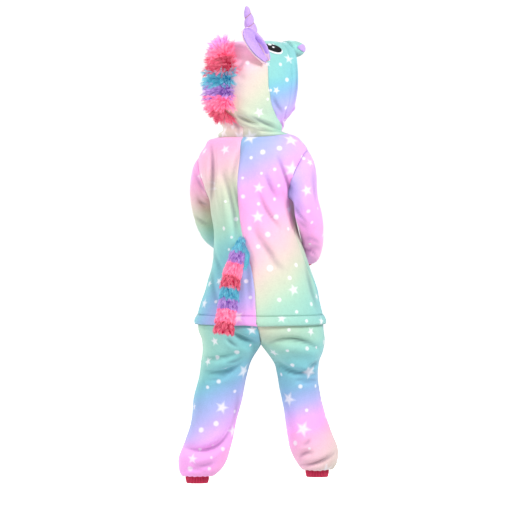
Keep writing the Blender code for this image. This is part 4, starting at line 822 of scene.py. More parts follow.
def fold_line(folds, i):
    """One fold's bowed line, across and up."""
    start = np.array([folds["x0"][i], folds["z0"][i]])
    end = np.array([folds["x1"][i], folds["z1"][i]])
    aside = np.array([end[1] - start[1], start[0] - end[0]])
    aside = aside / np.linalg.norm(aside) * folds["bow"][i] * 2
    aside = -aside if start[0] > end[0] else aside
    return bent(start, (start + end) / 2 + aside, end, np.linspace(0, 1, FOLD_STEPS + 1)[:, None])


def fold_lift(points, normals, folds):
    """How far the folds lift each point along its normal: a soft ridge or trough, with
    the cloth pushed up a little on both its sides."""
    lift = np.zeros(points.shape[:-1])
    flat = points[..., [0, 2]]
    for i in range(len(folds["fold"])):
        line = fold_line(folds, i)
        reach = folds["width"][i] * FOLD_REACH
        inside = ((flat > line.min(axis=0) - reach) & (flat < line.max(axis=0) + reach)).all(axis=-1)
        if not inside.any():
            continue
        step = np.diff(line, axis=0)
        offset = flat[inside][:, None] - line[:-1]
        share = np.clip((offset * step).sum(axis=-1) / (step**2).sum(axis=-1), 0, 1)
        gaps = np.linalg.norm(offset - share[..., None] * step, axis=-1)
        nearest = gaps.argmin(axis=1)
        pick = np.arange(len(nearest))
        place = (nearest + share[pick, nearest]) / FOLD_STEPS
        taper = np.sin(math.pi * (0.05 + 0.90 * place)) ** 0.9
        facing = np.clip(normals[inside][:, 1] * folds["face"][i] * 1.8 + 0.05, 0, 1)
        q = gaps[pick, nearest] / folds["width"][i]
        profile = bell(q) - FOLD_LIP * bell((q - 2.0) / 0.8)
        lift[inside] += folds["height"][i] * taper * facing * profile
    return lift


SLACK = 0.0007                    # height of the loose cloth's slight rise and fall


def slack(points):
    """The uneven rise and fall of cloth that isn't pulled tight."""
    x, y, z = np.moveaxis(points, -1, 0)
    rolls = np.sin(x * 61 + z * 23 + 1.0) * np.sin(z * 47 - y * 31)
    return SLACK * (rolls + 0.6 * np.sin(x * 118 - z * 52 + y * 40))


GATHER = 0.0013                   # height of the gathers above the cuffs
LEG_GATHERS, SLEEVE_GATHERS = 9, 26   # to each quarter of a leg's end, and round a sleeve's


def gathered(grid, count):
    """The small pleats of a leg's or sleeve's end, fading out above its cuff."""
    above = run(grid[::-1])[::-1]
    shares = np.arange(grid.shape[1]) / (grid.shape[1] - (0 if count == SLEEVE_GATHERS else 1))
    uneven = 0.75 + 0.25 * np.cos(2 * math.pi * 2 * shares)
    reach = 0.022 * (1 + 0.35 * np.cos(2 * math.pi * 3 * shares))
    rise = bell(above / reach) * (1 - bell(above / 0.003))
    return GATHER * uneven * np.cos(2 * math.pi * count * shares) * rise


BRIM_HEM = 0.022                  # from the hood's brim to the stitching of its turned-in hem
HEM_TROUGH, HEM_ROLL = -0.0034, 0.0010


def brim_crease(grid):
    """The trough that the stitching of the turned-in hem draws beside the hood's brim."""
    from_brim = run(grid[:, ::-1], 1)[:, ::-1]
    trough = HEM_TROUGH * bell((from_brim - BRIM_HEM) / 0.0022)
    return trough + HEM_ROLL * bell((from_brim - BRIM_HEM * 0.5) / 0.0045)


def edge_distance(grid, wrap):
    """The distance of each point from the nearest cut edge of its piece."""
    from_top = run(grid)
    nearest = np.minimum(from_top, from_top[-1:] - from_top)
    if not wrap:
        from_seam = run(grid, 1)
        nearest = np.minimum(nearest, np.minimum(from_seam, from_seam[:, -1:] - from_seam))
    return nearest


def grid_squares(rows, columns, closed=False):
    """The faces of a grid's points; a closed grid's last column joins its first."""
    over = columns if closed else columns - 1
    return [
        (r * columns + c, r * columns + (c + 1) % columns,
         (r + 1) * columns + (c + 1) % columns, (r + 1) * columns + c)
        for r in range(rows - 1) for c in range(over)
    ]


def smooth_mesh(name, points, faces):
    mesh = bpy.data.meshes.new(name)
    mesh.from_pydata(np.reshape(points, (-1, 3)).tolist(), [], faces)
    mesh.shade_smooth()
    return mesh


def grid_mesh(name, grid, sign, wrap):
    """A mesh of a grid of points, its faces turned outwards."""
    squares = grid_squares(*grid.shape[:2], wrap)
    return smooth_mesh(name, grid, squares if sign > 0 else [s[::-1] for s in squares])


def put_on(name, mesh, node, finish, for_solid=True):
    """Place a piece on the garment, in the room of its solid unless it only adds to it."""
    mesh.materials.append(finish)
    made = bpy.data.objects.new(name, mesh)
    bpy.context.collection.objects.link(made)
    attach(made, "root")
    if for_solid:
        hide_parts(node)
    return made


def thickened(made, thick):
    wall = made.modifiers.new("cloth thickness", "SOLIDIFY")
    wall.thickness = thick
    wall.offset = -1.0


CREASE_SHADE_HEART = 0.80               # half width of the painted shade along the creases, as a share of their own
CREASE_SHADE_DEPTH = 0.0050              # depth of the creases at which their painted shade is darkest


def cloth_piece(node, grid, normal, sign, across, thick=CLOTH, wrap=False, dip=SEAM_DIP):
    """A piece of printed plush, its cut edges drawn in by the stitches, with painted shade kept on its
    points along its sharp creases.
    """
    inwards = dip * bell(edge_distance(grid, wrap) / SEAM_REACH)
    shaped = grid - normal * inwards[..., None]
    mesh = grid_mesh(node, shaped, sign, wrap)
    lay_print(mesh, node, shaped.reshape(-1, 3), normal.reshape(-1, 3), across.ravel())
    # Painted shade: narrowed copies of the sharp creases give how far each point's colour is darkened.
    creases = {"sleeve": SLEEVE_CREASES, "hood": HOOD_CREASES}.get(node.split("_")[0], CREASES)
    painted_shade_lines = {**creases, "width": creases["width"] * CREASE_SHADE_HEART}
    keep_on(mesh, "crease_painted_shade", np.clip(-fold_lift(shaped, normal, painted_shade_lines) / CREASE_SHADE_DEPTH, 0, 1))
    made = put_on(f"{node}_cloth", mesh, node, RAINBOW_PLUSH)
    thickened(made, thick)
    return made


def with_creases(folds, creases):
    return {column: np.concatenate([folds[column], creases[column]]) for column in folds}


SLEEVE_FOLDS = millimetres(
    "fold face x0 z0 x1 z1 bow width height",
    ("right_underarm",    1,  -93, -162, -128, -196,   4,  9,   -5),
    ("right_biceps",      1, -158, -110, -160, -190,   4, 12, -3.5),
    ("right_elbow",       1, -116, -286, -162, -292, -10,  8, -5.5),
    ("right_elbow_puff",  1, -126, -262, -166, -262,  -6, 12,  3.5),
    ("left_crook",        1,  152, -140,  118, -180,   4,  9,   -4),
    ("left_elbow",        1,  158, -188,  114, -206,   4,  9, -4.5),
    ("right_crook",      -1, -118, -215, -164, -232,   6, 10, -4.5),
    ("left_inner_crook", -1,  150, -175,  112, -190,   6, 10, -4.5),
)

HOOD_FOLDS = millimetres(
    "fold face x0 z0 x1 z1 bow width height",
    ("nape",        1,  50,  52, -52,  22, 4,  8, -5.5),
    ("nape_ridge",  1,  40,  66, -50,  36, 6,  9,    4),
    ("collar",      1,  12,  18, -58,  14, 3,  6, -3.5),
    ("behind_ear",  1,  52, 200,  30, 120, 6, 14,   -4),
    ("jaw",         1, -34, 108, -60,  34, 4,  9, -4.5),
    ("far_jaw",    -1,  40, 100, -20,  30, 6, 11, -4.5),
    ("far_nape",   -1,  70,  60,  10,  20, 4, 10,   -4),
)
SLEEVE_CREASES = millimetres(
    "fold face x0 z0 x1 z1 bow width height",
    ("right_armpit",      1,  -94, -172, -124, -212,  3,   5, -5.9),
    ("right_armpit_two",  1,  -98, -196, -126, -226,  3,   6, -3.2),
    ("right_outer",       1, -140,  -80, -152, -180,  4,   7, -2.9),
    ("right_crook_line",  1, -118, -278, -148, -294, -3, 4.5, -4.9),
    ("right_fore_line",   1, -120, -252, -160, -266, -4,   6, -3.2),
    ("left_cap_line",     1,  154,  -92,  124, -142,  3, 5.5, -4.2),
    ("left_cap_short",    1,  144, -158,  122, -168,  2, 4.5, -3.6),
    ("left_elbow_line",   1,  156, -196,  120, -216,  4, 5.5, -3.8),
    ("right_front_pull", -1, -104, -190, -150, -214,  6,   6, -4.6),
    ("left_front_pull",  -1,  146, -188,  104, -206,  5,   6, -4.2),
    ("left_fore_pull",   -1,  110, -232,   78, -262,  4,   6, -3.8),
)
HOOD_CREASES = millimetres(
    "fold face x0 z0 x1 z1 bow width height",
    ("nape_line",      1,  50,  52,  -6,  28,  2, 4.5, -5.5),
    ("nape_long",      1,  12,  50, -54,  20,  2, 4.5, -4.9),
    ("collar_line",    1,  12,  20, -48,  15,  2,   4, -4.2),
    ("neck_roll",      1,  60,  12, -70,   6,  1, 5.5,  4.6),
    ("under_ear",      1,  66,  54,  38,  14,  2,   5, -4.6),
    ("crown_pull",     1,  66, 156,  30, 188,  2, 5.5, -3.6),
    ("cheek_pull",     1, -40, 100, -66,  60,  3,   6, -3.6),
    ("throat_pull",    1, -60,  46, -76,  12,  3,   4, -4.1),
    ("brim_roll",      1, -96, 190, -80,  60, 10,   5, -2.6),
    ("far_cheek",     -1,  50,  92,   0,  50,  4,   6, -4.2),
    ("far_neck_roll", -1,  80,  12,   0,   6,  2,   6,  3.6),
)
CAP_ROWS = 4


def sleeve_sheet(loop, arm, side):
    """A sleeve from the armhole to its cuff.  The cap runs out sideways from the
    shoulder and bends over into the hanging arm."""
    angles = (np.arange(len(loop)) * 2 * math.pi / len(loop))[:, None]
    centres = np.stack([arm["x"], arm["y"], arm["z"]], axis=1)
    sideways = turned([(side, 0.0, 0.0)], BODY_TURN)[0]
    rings = []
    for k in range((len(centres) - 1) * FINE + 1):
        t = k / FINE
        heading = unit(along(centres, t + 0.5) - along(centres, t - 0.5))
        outward = unit(sideways - heading * np.dot(sideways, heading))
        behind = np.cross(outward, heading) * side
        across, deep = along(arm["across"], t), along(arm["deep"], t)
        rings.append(
            along(centres, t) + np.cos(angles) * across * outward + np.sin(angles) * deep * behind
        )
    heading = unit(centres[1] - centres[0])
    reach = np.linalg.norm(rings[0] - loop, axis=1, keepdims=True)
    upper = (1 + np.cos(angles)) / 2
    leave = unit(sideways * 0.9 + np.array([0, 0, -1.0]) * (0.15 + 0.55 * upper)) * reach * 0.85
    arrive = heading * reach
    cap = [loop]
    for k in range(1, CAP_ROWS * FINE):
        cap.append(smooth_curve(k / (CAP_ROWS * FINE), loop, leave, rings[0], arrive))
    return np.array(cap + rings)


HEAD_TURN = 67.0                  # degrees the head turns to the wearer's right
HEAD_BACK = 0.106                 # hood, from the middle of the head to the back seam
HEAD_UP = 0.118                   # hood, from the middle of the head to the crown seam
HEAD_SIDE = 0.094                 # hood, from the crown seam to its widest
HEAD_CENTRE = (0.004, -0.006, 0.124)
HEAD_FORWARD = -0.010
HOOD_ROWS = 13
HOOD_SEAM = (                     # the front panel's seam from the neck up: v and u
    (0.00, 0.94), (0.077, 0.92), (0.154, 0.77), (0.231, 0.63), (0.308, 0.59), (0.385, 0.55),
    (0.48, 0.52), (1.00, 0.52),
)
THROAT_TAKE_IN = (0, 0.25, 0.15, 0.08, 0.04, 0.015, 0)   # share drawn in below the right cheek
REAR_COLUMNS, FORE_COLUMNS = 10, 7


def hood_columns(v):
    """Positions from the centre back seam (0) to the brim (1), shifted so that the
    front panel's seam runs from behind the ear to the throat."""
    seam = np.interp(v, *np.transpose(HOOD_SEAM))
    rear = np.linspace(0, seam, REAR_COLUMNS * FINE + 1)
    fore = np.linspace(seam, 1, FORE_COLUMNS * FINE + 1)
    return np.concatenate([rear, fore[1:]])


def head_point(u, v, side):
    """A point of the hood over the head: u runs from the back seam to the brim,
    v from the neck to the crown seam."""
    brim = 0.93 * (1 - 0.26 * (1 - v) ** 2)
    backward = math.cos(math.pi * u) if u < 0.5 else -brim * math.sin(math.pi * (u - 0.5))
    upward = math.sin(math.pi / 2 * (1.9 * v - 0.9))
    corner = 0.24 if backward > 0 else 0.05
    back = HEAD_BACK * backward * math.sqrt(1 - corner * max(upward, 0) ** 2)
    up = HEAD_UP * upward * math.sqrt(1 - corner * backward**2)
    by_back = math.sqrt(max(1 - backward**2.4, 0)) if backward > 0 else 1 - 0.20 * backward**2
    by_up = math.sqrt(max(1 - upward**2.6, 0)) if upward > 0 else 1 - 0.20 * upward**2
    return np.array([side * HEAD_SIDE * by_back * by_up, back, up])


def in_head_frame(points):
    """Head frame (x to the left, y backwards, z up from its middle) to the garment's."""
    placed = np.asarray(points, float) - np.array([0, HEAD_FORWARD, 0])
    return turned(placed, HEAD_TURN) + np.array(HEAD_CENTRE)


def hood_sheet(side, neck_row):
    """Half a hood: rows from the neck seam up to the crown seam, columns from the back
    seam to the brim."""
    rows = [neck_row]
    for r in range(1, HOOD_ROWS * FINE + 1):
        v = r / (HOOD_ROWS * FINE)
        head = in_head_frame([head_point(u, v, side) for u in hood_columns(v)])
        grip = 1 - soft_step(v / 0.34)
        lifted = neck_row + np.array([0, 0, 1]) * (head[:, 2:3] - neck_row[:, 2:3])
        row = head * (1 - grip) + lifted * grip
        take_in = np.interp(r / FINE, np.arange(len(THROAT_TAKE_IN)), THROAT_TAKE_IN)
        row[:, 0] -= take_in * row[:, 0] * soft_step(-row[:, 0] / 0.05)
        rows.append(row)
    return np.array(rows)


HEM_ROW = len(TORSO["section"]) - 1
BAND_TOP = HEM_ROW - 1
FLARE_FROM = 11
FLARE = 0.0080                    # how far the band's lower edge stands away
BAND_DIP = 0.0016
NAMES = {1: "left", -1: "right"}


def dress_form():
    """All the sheets of the garment, shaped by its folds, and their normals."""
    positions = body_rows()
    quarters = {(side, face): body_quarter(side, face, positions) for side in (1, -1) for face in (1, -1)}
    arm_rows = [r for r, t in enumerate(positions) if ARMHOLE[0] <= t <= ARMHOLE[1]]
    sheets = {key: (grid, key[0] * key[1], False) for key, grid in quarters.items()}
    for side, arm in ((1, LEFT_SLEEVE), (-1, RIGHT_SLEEVE)):
        down = [quarters[side, 1][r, -1] for r in arm_rows]
        up = [quarters[side, -1][r, -1] for r in reversed(arm_rows)]
        loop = np.array(down + up[1:-1])
        sheets["sleeve", side] = (sleeve_sheet(loop, arm, side), -side, True)
        back, front = quarters[side, 1][0], quarters[side, -1][0]
        neck_row = np.vstack([back, front[: FINE - 1 : -1][1:]])
        sheets["hood", side] = (hood_sheet(side, neck_row), -side, False)
    normals = shared_normals(sheets)
    body_folds = with_creases(FOLDS, CREASES)
    kinds = {
        "sleeve": with_creases(SLEEVE_FOLDS, SLEEVE_CREASES),
        "hood": with_creases(HOOD_FOLDS, HOOD_CREASES),
    }
    for key, (grid, sign, wrap) in sheets.items():
        lift = fold_lift(grid, normals[key], kinds.get(key[0], body_folds))
        if key[0] in ("sleeve", "hood"):
            first = fold_lift(grid[:1], normals[key][:1], body_folds)
            fade = 1 - soft_step(np.arange(len(grid)) / (1.5 * FINE))[:, None]
            lift = lift * (1 - fade) + first * fade
        if key[0] == "hood":
            lift = lift + brim_crease(grid) * (1 - fade)
        else:
            lift = lift + gathered(grid, SLEEVE_GATHERS if wrap else LEG_GATHERS)
        sheets[key] = (grid + normals[key] * (lift + slack(grid))[..., None], sign, wrap)
    return positions, sheets, shared_normals(sheets)


positions, sheets, normals = dress_form()


def rows_between(first, last):
    return [r for r, t in enumerate(positions) if first <= t <= last]


def column_shares(rows):
    return np.tile(np.linspace(0, 1, COLUMNS + 1), (len(rows), 1))


flare = np.array([FLARE * soft_step((t - FLARE_FROM) / (HEM_ROW - FLARE_FROM)) for t in positions])
for side, word in NAMES.items():
    grid, sign, _ = sheets[side, 1]
    normal = normals[side, 1]
    flared = grid + normal * flare[:, None, None]
    upper = rows_between(0, BAND_TOP)
    band = rows_between(BAND_TOP, HEM_ROW)
    lower = rows_between(BAND_TOP, BODY_SECTIONS - 1)
    back = cloth_piece(f"back_{word}", flared[upper], normal[upper], sign, column_shares(upper))
    roll = np.sin(math.pi * np.linspace(0.12, 0.95, len(band)))[:, None, None]
    folded = flared[band] + normal[band] * (0.0006 + 0.0022 * roll)
    shares = column_shares(band)
    turn_up = cloth_piece(f"band_{word}", folded, normal[band], sign, shares, BAND_CLOTH, dip=BAND_DIP)
    leg = cloth_piece(f"leg_back_{word}", grid[lower], normal[lower], sign, column_shares(lower))
    grid, sign, _ = sheets[side, -1]
    front = cloth_piece(f"front_{word}", grid, normals[side, -1], sign, column_shares(grid))


# ------------------------------ sleeves
# Dropped sleeves of the same plush, set into low armholes.  The right arm hangs beside
# the body with its forearm forward, and the left arm reaches round to the front.
for side, word in NAMES.items():
    grid, sign, _ = sheets["sleeve", side]
    rim = (1 + np.cos(np.arange(grid.shape[1]) * 2 * math.pi / grid.shape[1])) / 2
    shares = np.tile(rim, (len(grid), 1))
    sleeve = cloth_piece(f"sleeve_{word}", grid, normals["sleeve", side], sign, shares, wrap=True)


# ------------------------------ hood
# A four-piece plush hood: two pink to cream backs joined at the nape and crown, and two
# blue front panels that end in a turned-in brim round the face.
for side, word in NAMES.items():
    grid, sign, _ = sheets["hood", side]
    normal = normals["hood", side]
    cut = REAR_COLUMNS * FINE
    rear = np.tile(np.linspace(0, 1, cut + 1), (len(grid), 1))
    fore = np.tile(np.linspace(0, 1, grid.shape[1] - cut), (len(grid), 1))
    hood_back = cloth_piece(f"hood_back_{word}", grid[:, : cut + 1], normal[:, : cut + 1], sign, rear)
    hood_front = cloth_piece(f"hood_front_{word}", grid[:, cut:], normal[:, cut:], sign, fore)


# ------------------------------ rib cuffs
# Rose-red two-by-two rib knit, folded double and sewn to the gathered ends of the legs
# and sleeves.  The ribs stand up round the cuff, and the free edge rolls in.
ANKLE_CUFF = 0.025
WRIST_CUFF = 0.036
RIBS = 46
RIB_COLUMNS = RIBS * 6
RIB_ROWS = 20
RIB_STANDS, EDGE_ROLL, CUFF_TAPER = 0.0007, 0.0016, 0.04


def rib_knit():
    made, tree, shader = new_finish("rose red rib knit", 0.9, 0.25)
    stitch = speckle(tree, 620.0, 2.0)
    valley_painted_shade = point_value(tree, "valley_painted_shade")
    # Painted shade: the knit is darker in the valleys between the ribs.
    colour = blended(tree, valley_painted_shade, srgb(224, 60, 98), srgb(160, 24, 58))
    worn = maths(tree, "MULTIPLY_ADD", stitch, 0.35, 0.82)
    link(tree, darkened(tree, colour, worn), shader.inputs["Base Color"])
    soft_nap(tree, shader, 1300.0, 480.0, 0.0007)
    return made


RIB_KNIT = rib_knit()


def cuff_grid(loop, heading, length, swell):
    """A ribbed cuff's rings, from the last ring of a leg or sleeve along its heading."""
    closed = np.vstack([loop, loop[:1]])
    loop = at_shares(closed, np.arange(RIB_COLUMNS) / RIB_COLUMNS)
    start = loop.mean(axis=0)
    spokes = loop - start
    spokes = spokes - np.outer(spokes @ heading, heading)
    phase = np.arange(RIB_COLUMNS) * RIBS * 2 * math.pi / RIB_COLUMNS
    rib = np.cos(phase)
    rings = [loop]
    for k in range(1, RIB_ROWS + 1):
        t = k / RIB_ROWS
        size = 1 + swell * math.sin(math.pi * min(t * 1.15, 1)) - CUFF_TAPER * t
        edge = max(0, (t - 0.86) / 0.14)
        stand = RIB_STANDS * rib * soft_step(t / 0.12) - EDGE_ROLL * edge**2
        wave = 1 + 0.012 * np.sin(phase * 3 / RIBS + 1.0)
        around = spokes * (size * wave)[:, None] + unit(spokes) * stand[:, None]
        rings.append(start + heading * length * t + around)
    # How deep each point lies between two ribs, kept for the painted shade of the valleys.
    return np.array(rings), np.tile((1 - rib) / 2, (RIB_ROWS + 1, 1))


def sew_cuff(kind, word, loop, heading, length, swell, sign):
    grid, valley_painted_shade = cuff_grid(loop, heading, length, swell)
    node = f"{kind}_cuff_{word}"
    mesh = grid_mesh(node, grid, sign, True)
    keep_on(mesh, "valley_painted_shade", valley_painted_shade)
    cuff = put_on(f"{node}_rib", mesh, node, RIB_KNIT)
    thickened(cuff, CLOTH)
    round_cut = float(run(np.vstack([loop, loop[:1]]))[-1])


for side, word in NAMES.items():
    back, front = sheets[side, 1][0], sheets[side, -1][0]
    leg_end = np.vstack([back[-1], front[-1][::-1][1:-1]])
    down = np.array([0, 0, -1.0])
    sew_cuff("ankle", word, leg_end, down, ANKLE_CUFF, 0.05, side)
    sleeve = sheets["sleeve", side][0]
    way = unit(sleeve[-1].mean(axis=0) - sleeve[-1 - FINE].mean(axis=0))
    sew_cuff("wrist", word, sleeve[-1], way, WRIST_CUFF, 0.06, -side)


# ------------------------------ ears
# Two leaf-shaped plush ears lined with lilac velour, pleated at the base and sewn to the
# hood.  The right one stands up and back, and the left one has flopped over.
EAR_LENGTH = 0.098
EAR_WIDTH = 0.047
EAR_OUTLINE = (                   # share of the length and of the width
    (0.00, 0.26), (0.16, 0.62), (0.34, 0.90), (0.54, 1.00), (0.74, 0.98), (0.86, 0.86), (0.94, 0.66),
    (0.98, 0.42), (1.00, 0.10),
)
EAR_AXIS = {-1: (-0.017, 0.055, 0.082), 1: (0.068, 0.035, 0.065)}
EAR_CLEARANCE = {-1: 0.0020, 1: 0.0008}
EAR_LINING_CLEARANCE = {-1: 4.2, 1: 6.0}
EAR_ROWS, EAR_COLUMNS = 64, 56
EAR_SLIT_DEEP, EAR_LOBE, EAR_RIM = 0.0100, 0.0036, 0.0016
EAR_SHOWING = 0.0024              # how far the lining lies off centre at the base, so that the plush shows
EAR_SLIT = 0.62                   # where the lining is tucked under, as a share of its half width


def plush_of_one_colour(name, colour, dark, fine=1400.0, sheen=0.28):
    made, tree, shader = new_finish(name, 0.95, sheen)
    share = maths(tree, "MULTIPLY_ADD", speckle(tree, 320.0, 3.0), 1.6, -0.3)
    tint = blended(tree, share, srgb(*dark), srgb(*colour))
    link(tree, tint, shader.inputs["Base Color"])
    soft_nap(tree, shader, fine, 260.0, 0.0009)
    return made


EAR_PLUSH = plush_of_one_colour("pale ear plush", (250, 226, 236), (240, 204, 222))
LILAC_VELOUR = plush_of_one_colour("lilac velour", (210, 178, 246), (184, 148, 228), 1900.0, 0.35)


def clear_of_hood(point, side, clearance):
    """The point, moved sideways if need be to stand clear of the side of the hood."""
    up = point[2] / HEAD_UP
    backward = point[1] / HEAD_BACK
    if abs(up) >= 1 or abs(backward) >= 1:
        return point
    beside = HEAD_SIDE * math.sqrt(1 - abs(up) ** 2.6)
    beside *= math.sqrt(1 - backward**2.4) if backward > 0 else 1 - 0.2 * backward**2
    out = max(point[0] * side, beside + clearance)
    return np.array([out * side, point[1], point[2]])


def ear_grid(side, margin, lift):
    """A cupped leaf from its base to its tip.  One edge is rolled over towards the
    middle, with a tuck beneath it."""
    base = np.array([0.082 * side, 0.005, 0.060])
    axis = unit(EAR_AXIS[side])
    facing = np.array([0.95 * side, -0.25, 0.05])
    facing = unit(facing - axis * np.dot(facing, axis))
    wide = np.cross(axis, facing)
    rows = []
    for share in np.linspace(0, 1, EAR_ROWS + 1):
        share = 0.03 + 0.965 * share if lift else 0.99 * share
        half = EAR_WIDTH / 2 * np.interp(share, *np.transpose(EAR_OUTLINE))
        half *= 1 - margin
        tucked = soft_step((share - 0.18) / 0.16) * soft_step((0.74 - share) / 0.16)
        row = []
        for w in np.linspace(-1, 1, EAR_COLUMNS + 1):
            cup = (0.021 - 0.013 * share) * w * w * (1 - margin) - 0.010 * share**2
            slit = -EAR_SLIT_DEEP * bell((w - EAR_SLIT) / 0.065) * tucked
            lobe = EAR_LOBE * bell((w - EAR_SLIT - 0.22) / 0.15) * tucked
            rim = EAR_RIM * bell((abs(w) - 0.86) / 0.13)
            roll = 0.0008 * math.sin(7 * share + 5 * w)
            raised = (slit + lobe + rim) if lift else 0.9 * slit + 0.3 * lobe
            aside = half * w + (EAR_SHOWING * (1 - share) if lift else 0)
            point = base + axis * EAR_LENGTH * share + wide * aside + facing * (cup + lift + raised + roll)
            row.append(clear_of_hood(point, side, EAR_CLEARANCE[side] + EAR_LINING_CLEARANCE[side] * lift))
        rows.append(row)
    return np.array(rows), facing


def ear_piece(name, node, side, margin, lift, thick, finish):
    grid, facing = ear_grid(side, margin, lift)
    across = np.cross(grid[1, EAR_COLUMNS // 2] - grid[0, EAR_COLUMNS // 2], grid[0, -1] - grid[0, 0])
    sign = 1 if np.dot(across, facing) < 0 else -1
    mesh = grid_mesh(name, in_head_frame(grid), sign, False)
    made = put_on(name, mesh, node, finish)
    thickened(made, thick)


for side, word in NAMES.items():
    ear_piece(f"ear_outer_{word}_plush", f"ear_outer_{word}", side, 0.0, 0.0, 0.0022, EAR_PLUSH)
    ear_piece(f"ear_lining_{word}", f"ear_inner_{word}", side, 0.05, 0.0026, 0.0016, LILAC_VELOUR)


# ------------------------------ horn
# A stuffed cone of lilac velour.  A gold-brown cord wound up it pulls the cloth in, so
# that it swells between the turns.
HORN_SIZE = (                     # height and radius
    (0.000, 0.0180), (0.018, 0.0170), (0.036, 0.0140), (0.0475, 0.0128),
    (0.064, 0.0102), (0.073, 0.0086), (0.081, 0.0064), (0.0865, 0.0036), (0.0885, 0.0006),
)
HORN_ROWS, HORN_SPOKES = 110, 56
HORN_PITCH = 0.0256
HORN_GROOVE = 0.0383              # height of a groove on the side away from the mane
HORN_DRAWN_IN, HORN_SWELL = 0.20, 0.045   # shares of the radius
HORN_FACE = math.radians(157.0)
HORN_LEAN = math.radians(12.0)
HORN_BASE = np.array([0.0, -0.0037, 0.1175])
HORN_AXIS = np.array([0.0, math.sin(HORN_LEAN), math.cos(HORN_LEAN)])
HORN_ASIDE = np.array([1.0, 0.0, 0.0])
HORN_BEHIND = np.cross(HORN_AXIS, HORN_ASIDE)
CORD_RADIUS, CORD_SPOKES, CORD_STEPS = 0.0007, 8, 130
CORD_FROM, CORD_TO = 0.005, 0.079 # heights between which the cord is wound


def horn_point(h, angle, lift=0.0):
    """A point of the horn's side at a height along its axis, in the head frame."""
    turns = (angle - HORN_FACE) / (2 * math.pi)
    phase = (h - HORN_GROOVE - HORN_PITCH * turns + HORN_PITCH / 2) % HORN_PITCH - HORN_PITCH / 2
    ends = soft_step(h / 0.010) * soft_step((0.0875 - h) / 0.01)
    wound = HORN_DRAWN_IN * bell(phase / 0.0026) * ends
    swell = HORN_SWELL * math.cos(math.pi * phase / (HORN_PITCH / 2)) * -1
    radius = np.interp(h, *np.transpose(HORN_SIZE))
    radius = radius * (1 + swell * soft_step(h / 0.01) - wound)
    point = HORN_BASE + HORN_AXIS * h
    return point + (radius + lift) * (math.cos(angle) * HORN_ASIDE + math.sin(angle) * HORN_BEHIND)


def wind_horn():
    angles = 2 * math.pi * np.arange(HORN_SPOKES) / HORN_SPOKES
    heights = HORN_SIZE[-1][0] * np.arange(HORN_ROWS + 1) / HORN_ROWS
    grid = np.array([[horn_point(h, angle) for angle in angles] for h in heights])
    for k in range(HORN_SPOKES):
        x, y = grid[0, k, 0], grid[0, k, 1]
        grid[0, k, 2] = 0.1187 * (1 - abs(x) ** 2 / (HEAD_SIDE**2 * 2.6)) - 0.9 * y**2
    mesh = grid_mesh("horn", in_head_frame(grid), -1, True)
    horn = put_on("horn_velour", mesh, "horn", LILAC_VELOUR)


def two_tone(name, dark, light, grain, detail, roughness, sheen=0.0, nap=None):
    """A plain finish that wavers between two colours, with a nap of that grain and depth."""
    made, tree, shader = new_finish(name, roughness, sheen)
    tint = blended(tree, speckle(tree, grain, detail), srgb(*dark), srgb(*light))
    link(tree, tint, shader.inputs["Base Color"])
    if nap:
        soft_nap(tree, shader, *nap)
    return made


def horn_cord():
    nap = (1600, 500, 0.0004)
    made = two_tone("gold-brown cord", (150, 108, 84), (206, 166, 128), 1100, 1, 0.6, 0.1, nap)
    line = []
    for h in np.linspace(CORD_FROM, CORD_TO, CORD_STEPS + 1):
        angle = HORN_FACE + 2 * math.pi * (h - HORN_GROOVE) / HORN_PITCH
        line.append(horn_point(h, angle, 0.0004))
    line = np.array(line)
    ways = unit(np.gradient(line, axis=0))
    middle = HORN_BASE + np.outer((line - HORN_BASE) @ HORN_AXIS, HORN_AXIS)
    out = unit(line - middle)
    side = np.cross(ways, out)
    ring = (np.arange(CORD_SPOKES) * 2 * math.pi / CORD_SPOKES)[None, :, None]
    grid = line[:, None] + CORD_RADIUS * (np.cos(ring) * out[:, None] + np.sin(ring) * side[:, None])
    mesh = grid_mesh("horn_cord", in_head_frame(grid), 1, True)
    put_on("horn_cord", mesh, "horn", made)


wind_horn()
horn_cord()


# ------------------------------ eyes and nostrils
# Appliquéd ovals: a white felt rim under a black satin-stitched pupil with three white
# sparkles, one pair on each side of the hood.
EYE = {"u": 0.612, "v": 0.790, "long": 0.0265, "short": 0.0170, "tilt": -24.0}
EYE_DROP = {1: 0.100, -1: 0.0}    # the hood sits twisted, so the left eye is lower
FELT_NAP = (1500, 700, 0.0003)
EYE_WHITE = two_tone("white felt", (226, 226, 236), (252, 252, 255), 900, 4, 0.85, 0.05, FELT_NAP)
EYE_BLACK = two_tone("black satin stitch", (8, 8, 12), (26, 24, 32), 900, 4, 0.42, 0.05, FELT_NAP)


def pad_mesh(name, place, rings, spokes):
    """An oval pad: place(share, angle, top) gives the points of its two faces."""
    points, faces = [place(0.0, 0.0, 1)], []
    profile = [(k / rings, 1.0) for k in range(1, rings + 1)] + [(1.0, 0.55), (1.0, 0.0)]
    for share, top in profile:
        points += [place(share, 2 * math.pi * k / spokes, top) for k in range(spokes)]
    for k in range(spokes):
        n = (k + 1) % spokes
        faces.append((0, 1 + k, 1 + n))
        for r in range(len(profile) - 1):
            a, b = 1 + r * spokes, 1 + (r + 1) * spokes
            faces.append((a + k, b + k, b + n, a + n))
    base = 1 + (len(profile) - 1) * spokes
    faces.append(tuple(base + k for k in reversed(range(spokes))))
    return smooth_mesh(name, points, faces)


